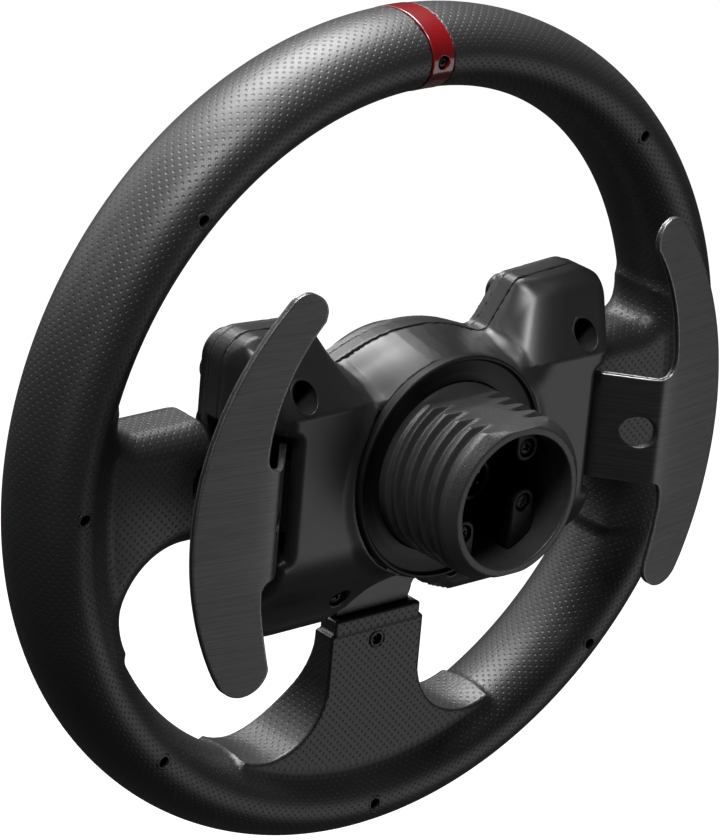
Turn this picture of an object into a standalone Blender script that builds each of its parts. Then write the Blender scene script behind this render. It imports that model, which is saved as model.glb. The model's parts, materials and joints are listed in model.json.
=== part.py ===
"""Racing wheel: a round rim on a three-spoke plate, a hub housing with two shift paddles,
a threaded quick-release tube on the back, and push buttons, a direction pad and a dial on
the front.

Sizes are in metres. The wheel turns about the Y axis: +Y points back, along the
quick-release tube, -Y points at the driver, and +Z is up. Everything is drawn about the
middle of the rim, and an empty then moves it so that the origin is at the tube's mouth.
"""

import math

import bmesh
import bpy
from mathutils import Matrix, Vector

MM = 0.001
GAP = 0.3 * MM                       # left between two pieces that touch

# Rim
RIM_DIAMETER = 280 * MM
GRIP_HALF_WIDTH = 12.7 * MM          # of the rim's section, along a radius
GRIP_HALF_DEPTH = 18.3 * MM          # of the rim's section, along the axis
HOOP_RADIUS = 4.6 * MM               # metal tube inside the rim
GRIP_CENTRE = RIM_DIAMETER / 2 - GRIP_HALF_WIDTH
RIM_STEPS = 48
SECTION_STEPS = 12
TURN_STEPS = 32                      # of the tube and the rings about it
HIDDEN_TURN = math.radians(45)       # step of the arcs on pieces inside the hub
BAND_WIDTH = 8.5 * MM                # coloured ring at 12 o'clock
BAND_THICKNESS = 1.2 * MM
BAND_PROUD = 0.2 * MM
BAND_SLIT = 0.6 * MM
RIM_SCREWS = 8
SCREW_WELL = 2.0 * MM
SCREW_WELL_FLOOR = 12.0 * MM
BAND_SCREW_LIFT = 3.4 * MM           # the band's screw sits this much nearer the surface

# Side arms and lower cover, the rubber that runs from the rim to the hub
ARM_TOP = 19.0 * MM
ARM_BOTTOM = -21.0 * MM
ARM_HALF_DEPTH = 13.5 * MM
ARM_TOP_FILLET = 9.0 * MM
ARM_BOTTOM_FILLET = 22.0 * MM
COVER_HALF_WIDTH = 19.4 * MM
COVER_TOP = -65.6 * MM
COVER_FILLET = 22.0 * MM
COVER_BACK = 11.8 * MM
COLLAR_STEP = 1.6 * MM               # the cover's collar is narrower by this
COLLAR_HEIGHT = 4.8 * MM
COVER_SCREW_Z = -70.4 * MM
ARM_ROUNDING = 4.0 * MM
ARM_ROOT = 65.0 * MM                 # the arm's rubber reaches in to here, behind the plate
ARM_ROOT_TOP = 12.0 * MM             # and stays below the lowest button's stem

# Spoke plate
PLATE_BACK = 8.0 * MM
PLATE_THICKNESS = 2.8 * MM
PLATE_FRONT = PLATE_BACK - PLATE_THICKNESS
SIDE_SPOKE_HALF = 9.0 * MM
LOWER_SPOKE_HALF = 15.8 * MM
LOWER_SPOKE_ROOT = 17.6 * MM
PLATE_INSET = 0.5 * MM
COVER_FRONT = PLATE_FRONT - GAP - 1.5 * MM      # the rubber in front of the plate is 1.5 mm

# Hub housing
HUB_HALF_WIDTH = 76.0 * MM
HUB_EAR_TOP = 49.0 * MM
HUB_DOME_TOP = 39.4 * MM
HUB_DOME_RADIUS = 62.0 * MM
DOME_SHOULDER = math.radians(21)      # slope of the dome where it meets the ears
DOME_FOOT_X = 31.8 * MM
DRAFT = 1.0 * MM                     # slope of a ledge or spoke over its length
HUB_CHIN = -58.3 * MM
CHIN_HALF_WIDTH = 66.0 * MM
NOTCH_X = 62.3 * MM                  # side recess that the paddle's tab and the arm use
NOTCH_HALF = 20.2 * MM
HOUSING_BACK = 37.5 * MM
PARTING = 14.0 * MM                  # where the front and back shells meet
WALL = 2.4 * MM
BACK_CREASE_TOP = 27.2 * MM          # above it the back slopes forward
BACK_CREASE_BOTTOM = -28.0 * MM
BACK_EDGE_X = 65.0 * MM
EAR_SLOPE = 0.69
CHIN_SLOPE = 0.97
SIDE_SLOPE = 1.64
BOSS_RADIUS = 39.3 * MM
EAR_WELL = (57.9 * MM, 32.7 * MM)
EAR_WELL_RADIUS = 4.5 * MM
EAR_WELL_FLOOR = 18.0 * MM
CHIN_WELL = (24.5 * MM, -47.0 * MM)
CHIN_WELL_RADIUS = 3.6 * MM
CHIN_WELL_FLOOR = 15.8 * MM
WELL_WALL = 1.8 * MM

# Quick-release tube
TUBE_REACH = 71.0 * MM               # from the rim's middle to the tube's mouth
TUBE_BORE = 22.1 * MM
TUBE_LIP = 24.5 * MM
TUBE_RADIUS = 28.0 * MM
THREAD_DEPTH = 2.8 * MM
THREAD_PITCH = 6.0 * MM
THREAD_CRESTS = 4
THREAD_START = 42.0 * MM
TUBE_FLAT = 24.4 * MM                # half the height across the two flats
FLANGE_RADIUS = 34.0 * MM
FLANGE_THICKNESS = 3.5 * MM
COLLAR_RADIUS = 37.4 * MM
COLLAR_BACK = 39.6 * MM
COLLAR_SEAT = 36.0 * MM
INSERT_FACE = 44.0 * MM
# Each lug's x and z, and whether it hangs from above or stands on the bore's floor.
LUGS = ((-10.5 * MM, 13.0 * MM, 1), (13.0 * MM, -11.5 * MM, -1), (-11.0 * MM, -5.5 * MM, -1))
LUG_HALF = 4.6 * MM
LUG_FACE = 62.0 * MM
SOCKET_RADIUS = 7.0 * MM
SOCKET_WALL = 1.6 * MM
SOCKET_HEIGHT = 6.0 * MM

# Paddles
BLADE_THICKNESS = 2.0 * MM
BLADE_BACK = 51.0 * MM               # the blade's back face at the bend
BLADE_LEAN = 0.147                   # forward, for each step outward
BEND_X = 78.5 * MM
TAB_SLOPE = 1.18
TAB_END_X = 57.5 * MM
TAB_TOP = 18.5 * MM
TAB_BOTTOM = -17.5 * MM
BLADE_OUTER = 108.0 * MM             # radius of the outer edge about the wheel's axis
TIP_TOP = (74.6 * MM, 68.3 * MM, 7.0 * MM)
TIP_BOTTOM = (87.4 * MM, -46.2 * MM, 9.0 * MM)
PIVOT = (49.5 * MM, 20.5 * MM)       # x, y of the paddle's pin
PIN_RADIUS = 1.5 * MM
LEVER_HALF = 12.0 * MM
PIN_HALF = 15.5 * MM
SPRING_X = 56.2 * MM
SPRING_RADIUS = 2.4 * MM
SPRING_WIRE = 0.4 * MM
STOP_X = 73.0 * MM
STOP_RADIUS = 8.8 * MM

# Front controls
TRIM_THICKNESS = 2.7 * MM
TRIM_BACK = PLATE_FRONT - GAP
TRIM_FRONT = TRIM_BACK - TRIM_THICKNESS
BUTTONS = ((51.0 * MM, 36.0 * MM), (66.5 * MM, 33.0 * MM), (66.5 * MM, 16.0 * MM))
BUTTON_RADIUS = 5.8 * MM
BUTTON_TRAVEL = 1.2 * MM
BUTTON_STEM = 3.2 * MM
BUTTON_FRONT = -1.6 * MM
PAD_CENTRE = (-51.0 * MM, -28.0 * MM)
PAD_HALF = 11.0 * MM
PAD_ARM = 3.8 * MM
PAD_PIVOT_Y = 10.1 * MM
DIAL_CENTRE = (51.0 * MM, -28.0 * MM)
DIAL_RADIUS = 10.0 * MM
DIAL_FRONT = -9.0 * MM
COVER_RING_RADIUS = 36.0 * MM
CAP_RADIUS = 26.0 * MM
CAP_FRONT = -9.0 * MM
BOARD_FRONT = 12.2 * MM
BOARD_THICKNESS = 1.6 * MM
BOARD_MARGIN = 0.8 * MM               # between the board and the housing's wall
BOARD_BACK = BOARD_FRONT + BOARD_THICKNESS

UPRIGHT = Matrix.Rotation(math.radians(90), 4, "X")        # a flat outline, stood up in XZ
ALONG_Y = Matrix.Rotation(math.radians(-90), 4, "X")       # a turned shape, laid along +Y
ALONG_X = Matrix.Rotation(math.radians(90), 4, "Z") @ UPRIGHT


# ---------------------------------------------------------------- scene

def clear_scene():
    for found in list(bpy.data.objects):
        bpy.data.objects.remove(found, do_unlink=True)


def new_collection(name):
    collection = bpy.data.collections.new(name)
    bpy.context.scene.collection.children.link(collection)
    return collection


clear_scene()
PARTS = new_collection("racing_wheel")
CUTTERS = new_collection("cutters")
ROOT = bpy.data.objects.new("tube_mouth", None)
ROOT.location = (0, -TUBE_REACH, 0)
PARTS.objects.link(ROOT)


def material(name, colour, roughness, metallic=0.0):
    made = bpy.data.materials.new(name)
    made.use_nodes = True
    shader = made.node_tree.nodes["Principled BSDF"]
    shader.inputs["Base Color"].default_value = (*colour, 1)
    shader.inputs["Roughness"].default_value = roughness
    shader.inputs["Metallic"].default_value = metallic
    made.diffuse_color = (*colour, 1)
    return made


RUBBER = material("grip_rubber", (0.03, 0.03, 0.03), 0.6)
RED = material("band_red", (0.6, 0.01, 0.015), 0.25)
BLACK_PLASTIC = material("housing_plastic", (0.035, 0.035, 0.037), 0.5)
GREY_NYLON = material("tube_nylon", (0.16, 0.16, 0.165), 0.55)
SATIN_METAL = material("plate_metal", (0.12, 0.12, 0.125), 0.4, 1.0)
BLACK_METAL = material("paddle_metal", (0.06, 0.06, 0.065), 0.35, 1.0)
STEEL = material("steel", (0.45, 0.45, 0.46), 0.35, 1.0)
DARK_STEEL = material("screw_steel", (0.03, 0.03, 0.03), 0.4, 1.0)
BOARD_GREEN = material("board", (0.02, 0.12, 0.05), 0.5)
GASKET = material("gasket", (0.02, 0.02, 0.02), 0.7)
GLOSS_BLACK = material("gloss_black", (0.02, 0.02, 0.02), 0.15)
BUTTON_COLOURS = tuple(
    material(name, colour, 0.35)
    for name, colour in (
        ("button_white", (0.7, 0.7, 0.68)),
        ("button_graphite", (0.03, 0.03, 0.032)),
        ("button_black", (0.012, 0.012, 0.012)),
    )
)


# ---------------------------------------------------------------- outlines

def turn_at(before, corner, after):
    """The turn of an outline at a corner, in radians, positive to the left."""
    arriving = (corner[0] - before[0], corner[1] - before[1])
    leaving = (after[0] - corner[0], after[1] - corner[1])
    cross = arriving[0] * leaving[1] - arriving[1] * leaving[0]
    along = arriving[0] * leaving[0] + arriving[1] * leaving[1]
    return math.atan2(cross, along)


def inset(corners, distance):
    """Moves a clockwise outline of (x, z, radius) corners inward, and fits its radii."""
    moved = []
    for index, (x, z, radius) in enumerate(corners):
        before = corners[index - 1]
        after = corners[(index + 1) % len(corners)]
        turn = turn_at(before, (x, z), after)
        arriving = Vector((x - before[0], z - before[1])).normalized()
        leaving = Vector((after[0] - x, after[1] - z)).normalized()
        inward = Vector((arriving.y + leaving.y, -arriving.x - leaving.x)).normalized()
        reach = distance / math.cos(turn / 2)
        fitted = radius - distance if turn < 0 else radius + distance
        if radius == 0:
            fitted = 0
        moved.append((x + inward.x * reach, z + inward.y * reach, max(fitted, 0)))
    return moved


def rounded(corners, step=math.radians(22.5)):
    """Points of an outline of (x, z, radius) corners, each turned on its own arc."""
    points = []
    for index, (x, z, radius) in enumerate(corners):
        before = corners[index - 1]
        after = corners[(index + 1) % len(corners)]
        turn = turn_at(before, (x, z), after)
        if radius < 0.05 * MM or abs(turn) < 0.01:
            points.append((x, z))
            continue
        arriving = Vector((x - before[0], z - before[1])).normalized()
        side = Vector((-arriving.y, arriving.x)) * math.copysign(radius, turn)
        start = Vector((x, z)) - arriving * radius * math.tan(abs(turn) / 2)
        centre = start + side
        count = max(2, math.ceil(abs(turn) / step))
        for i in range(count + 1):
            spoke = -side
            spoke.rotate(Matrix.Rotation(turn * i / count, 2))
            points.append(tuple(centre + spoke))
    return points


def mirrored(half):
    """A clockwise outline from its right half, listed from the top down."""
    return list(half) + [(-x, z, r) for x, z, r in reversed(half) if x > 0]


def arc(cx, cz, radius, start, end, count):
    """Points on an arc from start to end degrees."""
    return [
        (
            cx + radius * math.cos(math.radians(start + (end - start) * i / count)),
            cz + radius * math.sin(math.radians(start + (end - start) * i / count)),
        )
        for i in range(count + 1)
    ]


def arc_through(first, middle, last, count):
    """Points on the circle through three points."""
    ax, az = first
    bx, bz = middle
    cx, cz = last
    d = 2 * (ax * (bz - cz) + bx * (cz - az) + cx * (az - bz))
    a2, b2, c2 = ax * ax + az * az, bx * bx + bz * bz, cx * cx + cz * cz
    ux = (a2 * (bz - cz) + b2 * (cz - az) + c2 * (az - bz)) / d
    uz = (a2 * (cx - bx) + b2 * (ax - cx) + c2 * (bx - ax)) / d
    start = math.atan2(az - uz, ax - ux)
    sweep = math.atan2(cz - uz, cx - ux) - start
    sweep = (sweep + math.pi) % (2 * math.pi) - math.pi
    radius = math.hypot(ax - ux, az - uz)
    return arc(ux, uz, radius, math.degrees(start), math.degrees(start + sweep), count)


# ---------------------------------------------------------------- solids

def finish(name, mesh, finish_material, collection=PARTS):
    """Puts a mesh in the scene under the root."""
    made = bpy.data.objects.new(name, mesh)
    made.parent = ROOT
    collection.objects.link(made)
    if finish_material:
        mesh.materials.clear()
        mesh.materials.append(finish_material)
    mesh.shade_smooth()
    mesh.set_sharp_from_angle(angle=math.radians(35))
    return made


def mesh_of(temporary):
    """The evaluated mesh of an object, which is then removed."""
    bpy.context.view_layer.update()
    graph = bpy.context.evaluated_depsgraph_get()
    mesh = bpy.data.meshes.new_from_object(temporary.evaluated_get(graph))
    bpy.data.objects.remove(temporary, do_unlink=True)
    return mesh


def merged(mesh, transform):
    """Merges a mesh's doubles and turns it into place."""
    work = bmesh.new()
    work.from_mesh(mesh)
    bmesh.ops.remove_doubles(work, verts=work.verts, dist=0.00001)
    work.to_mesh(mesh)
    work.free()
    mesh.transform(transform)
    return mesh


def flat_mesh(outlines, low, high, turn=UPRIGHT):
    """A flat outline, with any inner outlines as holes, made solid from low to high."""
    curve = bpy.data.curves.new("outline", "CURVE")
    curve.dimensions = "2D"
    curve.fill_mode = "BOTH"
    curve.extrude = (high - low) / 2
    for points in outlines:
        spline = curve.splines.new("POLY")
        spline.points.add(len(points) - 1)
        for point, (x, z) in zip(spline.points, points):
            point.co = (x, z, 0, 1)
        spline.use_cyclic_u = True
    temporary = bpy.data.objects.new("outline", curve)
    bpy.context.scene.collection.objects.link(temporary)
    middle = (low + high) / 2
    lift = -middle if turn == UPRIGHT else middle
    return merged(mesh_of(temporary), turn @ Matrix.Translation((0, 0, lift)))


def flat(name, outlines, low, high, finish_material=None, turn=UPRIGHT, collection=PARTS):
    return finish(name, flat_mesh(outlines, low, high, turn), finish_material, collection)


def turned_mesh(profile, steps, closed=False):
    """A profile of (radius, y) points, down its outer side, turned about the Y axis."""
    mesh = bpy.data.meshes.new("profile")
    count = len(profile)
    edges = [(i, (i + 1) % count) for i in range(count if closed else count - 1)]
    mesh.from_pydata([(radius, 0, y) for radius, y in profile], edges, [])
    temporary = bpy.data.objects.new("profile", mesh)
    bpy.context.scene.collection.objects.link(temporary)
    screw = temporary.modifiers.new("turn", "SCREW")
    screw.steps = steps
    screw.render_steps = steps
    screw.use_merge_vertices = True
    screw.merge_threshold = 0.00001
    return merged(mesh_of(temporary), ALONG_Y)


def turned(name, profile, steps, finish_material=None, closed=False, collection=PARTS):
    return finish(name, turned_mesh(profile, steps, closed), finish_material, collection)


def rod_profile(radius, low, high):
    return [(0, high), (radius, high), (radius, low), (0, low)]


def cylinder(name, radius, low, high, x, z, steps=14, finish_material=None, collection=PARTS):
    made = turned(name, rod_profile(radius, low, high), steps, finish_material, False, collection)
    made.location = (x, 0, z)
    return made


def box(name, low, high, finish_material=None, collection=PARTS):
    outline = [(low[0], low[2]), (low[0], high[2]), (high[0], high[2]), (high[0], low[2])]
    return flat(name, [outline], low[1], high[1], finish_material, UPRIGHT, collection)


def boolean(target, tool, operation):
    tool.hide_render = True
    tool.display_type = "WIRE"
    modifier = target.modifiers.new(tool.name, "BOOLEAN")
    modifier.operation = operation
    modifier.solver = "EXACT"
    modifier.object = tool


def cut(target, tool):
    boolean(target, tool, "DIFFERENCE")


def join(target, tool):
    boolean(target, tool, "UNION")


def cut_hole(target, x, z, radius, low, high, steps=14):
    tool = cylinder("hole", radius, low, high, x, z, steps, None, CUTTERS)
    cut(target, tool)


def bevel(target, width, segments=2, angle=30):
    modifier = target.modifiers.new("edges", "BEVEL")
    modifier.width = width
    modifier.segments = segments
    modifier.limit_method = "ANGLE"
    modifier.angle_limit = math.radians(angle)
    modifier.use_clamp_overlap = True


def copy_of(source, name):
    """A second object on the same mesh."""
    made = bpy.data.objects.new(name, source.data)
    made.parent = ROOT
    PARTS.objects.link(made)
    return made


def set_origin(target, point):
    """Moves an object's origin to a point on its joint's axis, and leaves it in place."""
    target.data.transform(Matrix.Translation(-Vector(point)))
    target.location = point


def flipped(source, name):
    """The left-hand piece that mirrors a finished right-hand one."""
    mesh = source.data.copy()
    mesh.transform(Matrix.Diagonal((-1, 1, 1, 1)))
    mesh.flip_normals()
    made = bpy.data.objects.new(name, mesh)
    made.parent = ROOT
    made.location = (-source.location.x, source.location.y, source.location.z)
    PARTS.objects.link(made)
    return made


# ---------------------------------------------------------------- rim

def grip_section(grow, count=SECTION_STEPS):
    """The rim's oval section, clockwise from the outside, as (radius, y) points."""
    points = []
    for i in range(count):
        angle = -2 * math.pi * i / count
        radius = GRIP_CENTRE + (GRIP_HALF_WIDTH + grow) * math.cos(angle)
        points.append((radius, (GRIP_HALF_DEPTH + grow) * math.sin(angle)))
    return points


def arm_outline():
    """The right-hand arm, from the hub to inside the rim."""
    root = HUB_HALF_WIDTH + GAP
    inner = GRIP_CENTRE - GRIP_HALF_WIDTH
    top_start = math.sqrt((inner - ARM_TOP_FILLET) ** 2 - (ARM_TOP + ARM_TOP_FILLET) ** 2)
    low_start = math.sqrt((inner - ARM_BOTTOM_FILLET) ** 2 - (ARM_BOTTOM - ARM_BOTTOM_FILLET) ** 2)
    top = arc(top_start, ARM_TOP + ARM_TOP_FILLET, ARM_TOP_FILLET, -90, 0, 4)
    low = arc(low_start, ARM_BOTTOM - ARM_BOTTOM_FILLET, ARM_BOTTOM_FILLET, 0, 90, 5)
    outer_top = [(GRIP_CENTRE * 0.97, ARM_TOP + ARM_TOP_FILLET)]
    outer_low = [(GRIP_CENTRE * 0.96, ARM_BOTTOM / 2), (GRIP_CENTRE * 0.9, ARM_BOTTOM - ARM_BOTTOM_FILLET)]
    return [(root, ARM_TOP)] + top + outer_top + outer_low + low + [(root, ARM_BOTTOM)]


def cover_outline():
    """The lower cover, from its collar down to inside the rim."""
    inner = GRIP_CENTRE - GRIP_HALF_WIDTH
    side = COVER_HALF_WIDTH + COVER_FILLET
    depth = math.sqrt((inner - COVER_FILLET) ** 2 - side ** 2)
    flare = arc(side, -depth, COVER_FILLET, 180, 255, 5)
    half = [(COVER_HALF_WIDTH, COVER_TOP)] + flare + [(side, -GRIP_CENTRE * 0.93)]
    return half + [(-x, z) for x, z in reversed(half)]


def grip_body(name):
    """The whole rubber grip, before it is parted at the rim's middle."""
    grip = turned(name, grip_section(0), RIM_STEPS, RUBBER, closed=True)
    arm = flat("arm", [arm_outline()], -ARM_HALF_DEPTH, ARM_HALF_DEPTH, None, UPRIGHT, CUTTERS)
    bevel(arm, ARM_ROUNDING, 2, 60)
    join(grip, arm)
    other = flat("arm_left", [[(-x, z) for x, z in arm_outline()]],
                 -ARM_HALF_DEPTH, ARM_HALF_DEPTH, None, UPRIGHT, CUTTERS)
    bevel(other, ARM_ROUNDING, 2, 60)
    join(grip, other)
    cover = flat("cover", [cover_outline()], COVER_FRONT, COVER_BACK, None, UPRIGHT, CUTTERS)
    join(grip, cover)
    width = COVER_HALF_WIDTH - COLLAR_STEP
    collar = box("collar_step", (-width, COVER_FRONT + GAP, COVER_TOP - COLLAR_HEIGHT),
                 (width, COVER_BACK - GAP, COVER_TOP + COLLAR_HEIGHT), None, CUTTERS)
    join(grip, collar)
    return grip


def band_outline(outer, inner):
    """The band's section ring, in the (y, z) plane at 12 o'clock."""
    def oval(grow, count):
        return [
            (
                (GRIP_HALF_DEPTH + grow) * math.sin(2 * math.pi * i / count),
                GRIP_CENTRE + (GRIP_HALF_WIDTH + grow) * math.cos(2 * math.pi * i / count),
            )
            for i in range(count)
        ]
    return [oval(outer, 24), oval(inner, 24)]


def screw_profile(head, head_low, head_high, shank, shank_low):
    return [(0, head_high), (head, head_high), (head, head_low), (shank, head_low),
            (shank, shank_low), (0, shank_low)]


def make_rim():
    reach = RIM_DIAMETER
    front = grip_body("rim_front")
    cut(front, box("behind_parting", (-reach, -GAP / 2, -reach), (reach, reach, reach), None, CUTTERS))
    back = grip_body("rim_back")
    cut(back, box("before_parting", (-reach, -reach, -reach), (reach, GAP / 2, reach), None, CUTTERS))
    for side in (-1, 1):
        low, high = sorted((side * ARM_ROOT, side * (HUB_HALF_WIDTH + 3 * MM)))
        join(back, box("arm_root", (low, PLATE_BACK + 2 * GAP, 2 * DRAFT - NOTCH_HALF),
                       (high, ARM_HALF_DEPTH - DRAFT, ARM_ROOT_TOP), None, CUTTERS))

    channel = HOOP_RADIUS + GAP
    ring = [
        (GRIP_CENTRE + channel * math.cos(-math.radians(60 * i)),
         channel * math.sin(-math.radians(60 * i)))
        for i in range(6)
    ]
    hoop = [
        (GRIP_CENTRE + (r - GRIP_CENTRE) * HOOP_RADIUS / channel, y * HOOP_RADIUS / channel)
        for r, y in ring
    ]
    turned("rim_hoop", hoop, RIM_STEPS, STEEL, closed=True)
    hoop_space = turned("hoop_space", ring, RIM_STEPS, None, True, CUTTERS)
    for half in (front, back):
        cut(half, hoop_space)

    slot_back = PLATE_BACK + GAP
    height = SIDE_SPOKE_HALF + DRAFT + GAP
    arms = box("arm_slots", (-GRIP_CENTRE - channel, -GAP, -height),
               (GRIP_CENTRE + channel, slot_back, height), None, CUTTERS)
    width = LOWER_SPOKE_HALF + GAP
    lower = box("lower_slot", (-width, PLATE_FRONT - GAP, -GRIP_CENTRE - channel),
                (width, slot_back, COVER_TOP + 2 * COLLAR_HEIGHT), None, CUTTERS)
    for slot in (arms, lower):
        cut(back, slot)

    groove = flat("band_groove", band_outline(2 * MM, -BAND_THICKNESS - GAP),
                  -BAND_WIDTH / 2 - GAP, BAND_WIDTH / 2 + GAP, None, ALONG_X, CUTTERS)
    for half in (front, back):
        cut(half, groove)
    band = flat("centre_band", band_outline(BAND_PROUD, -BAND_THICKNESS),
                -BAND_WIDTH / 2, BAND_WIDTH / 2, RED, ALONG_X)
    inner = GRIP_CENTRE - GRIP_HALF_WIDTH
    cut(band, box("band_slit", (-BAND_WIDTH, -BAND_SLIT / 2, inner - 3 * MM),
                  (BAND_WIDTH, BAND_SLIT / 2, inner + 3 * MM), None, CUTTERS))

    head = SCREW_WELL - GAP
    shank = head * 0.55

    def rim_screw(name, lift):
        profile = screw_profile(head, SCREW_WELL_FLOOR + lift + GAP, SCREW_WELL_FLOOR + lift + 2.3 * MM,
                                shank, slot_back + GAP)
        return turned(name, profile, 8, DARK_STEEL)

    pattern = None
    for i in range(RIM_SCREWS):
        angle = 2 * math.pi * i / RIM_SCREWS
        x, z = GRIP_CENTRE * math.sin(angle), GRIP_CENTRE * math.cos(angle)
        floor = SCREW_WELL_FLOOR + (BAND_SCREW_LIFT if i == 0 else 0)
        cut_hole(back, x, z, SCREW_WELL, floor, GRIP_HALF_DEPTH * 1.2, 10)
        cut_hole(back, x, z, shank + GAP, channel / 2, floor + GAP, 10)
        if i == 0:
            rim_screw("band_screw", BAND_SCREW_LIFT).location = (x, 0, z)
        elif i == 1:
            pattern = rim_screw("rim_screw_1", 0)
            pattern.location = (x, 0, z)
        else:
            copy_of(pattern, f"rim_screw_{i}").location = (x, 0, z)
    cut_hole(band, 0, GRIP_CENTRE, SCREW_WELL, 0, GRIP_HALF_DEPTH * 1.2, 10)
    cut_hole(back, 0, COVER_SCREW_Z, SCREW_WELL + GAP, PLATE_BACK, GRIP_HALF_DEPTH, 10)
    for side in (-1, 1):
        cut_hole(back, side * STOP_X, 0, STOP_RADIUS + 2 * GAP, PLATE_BACK, GRIP_HALF_DEPTH, 16)


# ---------------------------------------------------------------- hub outline

def hub_corners(notch=False, spokes=False):
    """The hub's outline, clockwise from the top: dome, ear, side, chin and lower arch."""
    apex = HUB_DOME_TOP + HUB_DOME_RADIUS * (1 / math.cos(DOME_SHOULDER) - 1)
    half = [
        (0, apex, HUB_DOME_RADIUS),
        (DOME_FOOT_X, apex - DOME_FOOT_X * math.tan(DOME_SHOULDER), 3 * MM),
        (43.0 * MM, HUB_EAR_TOP - 1.3 * MM, 5 * MM),
        (HUB_HALF_WIDTH, HUB_EAR_TOP + 0.8 * MM, 10 * MM),
    ]
    if notch:
        half += [
            (HUB_HALF_WIDTH, NOTCH_HALF + DRAFT, 0),
            (NOTCH_X, NOTCH_HALF, 0),
            (NOTCH_X, -NOTCH_HALF, 0),
            (CHIN_HALF_WIDTH, -NOTCH_HALF - DRAFT, 0),
        ]
    elif spokes:
        spoke_end = GRIP_CENTRE
        half += [
            (HUB_HALF_WIDTH, SIDE_SPOKE_HALF + DRAFT, 0),
            (spoke_end, SIDE_SPOKE_HALF, 0),
            (spoke_end, -SIDE_SPOKE_HALF, 0),
            (HUB_HALF_WIDTH - DRAFT, -SIDE_SPOKE_HALF - DRAFT, 0),
        ]
    half += [(CHIN_HALF_WIDTH, HUB_CHIN, 18 * MM)]
    if spokes:
        half += [
            (LOWER_SPOKE_ROOT + 9 * MM, HUB_CHIN, 0),
            (LOWER_SPOKE_ROOT, HUB_CHIN + 4 * MM, 0),
            (LOWER_SPOKE_HALF, COVER_TOP + COLLAR_HEIGHT, 0),
            (LOWER_SPOKE_HALF, -GRIP_CENTRE, 0),
        ]
        return mirrored(half)
    half += [(LOWER_SPOKE_ROOT + 9 * MM, HUB_CHIN, 4 * MM), (LOWER_SPOKE_ROOT, HUB_CHIN + 4 * MM, 0)]
    arch_top = HUB_CHIN + 12.6 * MM
    half += [(11 * MM, arch_top - 4 * MM, 0), (0, arch_top, 0)]
    return mirrored(half)


# ---------------------------------------------------------------- hub housing

def slope_tool(name, point, direction, normal):
    """A large block whose face passes through a point, to plane a corner off."""
    size = 200 * MM
    block = box(name, (-size, 0, -size), (size, size, size), None, CUTTERS)
    upward = Vector(normal).normalized()
    across = Vector(direction).normalized()
    third = across.cross(upward)
    frame = Matrix((across, upward, third)).transposed().to_4x4()
    block.data.transform(Matrix.Translation(point) @ frame)
    return block


def housing_form(name, inward, finish_material=None, collection=PARTS):
    """The housing's outer form moved inward: the outline run back, planed to its slopes."""
    outline = rounded(hub_corners(notch=True))
    if inward:
        outline = rounded(inset(hub_corners(notch=True), inward), HIDDEN_TURN)
    front = -10 * MM if inward else 0
    back = HOUSING_BACK - inward
    form = flat(name, [outline], front, back, finish_material, UPRIGHT, collection)
    planes = (
        ("ear", (0, HOUSING_BACK, BACK_CREASE_TOP), (1, 0, 0), (0, 1, EAR_SLOPE)),
        ("chin", (0, HOUSING_BACK, BACK_CREASE_BOTTOM), (-1, 0, 0), (0, 1, -CHIN_SLOPE)),
        ("right", (BACK_EDGE_X, HOUSING_BACK, 0), (0, 0, -1), (SIDE_SLOPE, 1, 0)),
        ("left", (-BACK_EDGE_X, HOUSING_BACK, 0), (0, 0, 1), (-SIDE_SLOPE, 1, 0)),
    )
    for label, point, direction, normal in planes:
        unit = Vector(normal).normalized()
        cut(form, slope_tool(f"{name}_{label}", Vector(point) - unit * inward, direction, unit))
    return form


def well_boss(cavity, x, z, radius):
    """Leaves a post of material in the cavity, around a screw well."""
    cut(cavity, cylinder("boss", radius + WELL_WALL, -HOUSING_BACK, 2 * HOUSING_BACK, x, z, 12,
                         None, CUTTERS))


def well(shell, x, z, radius, floor, hole):
    """A screw's well from behind, and the smaller hole through its floor."""
    cut_hole(shell, x, z, radius, floor, HOUSING_BACK * 1.3, 12)
    cut_hole(shell, x, z, hole, 0, floor + GAP, 8)


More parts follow.
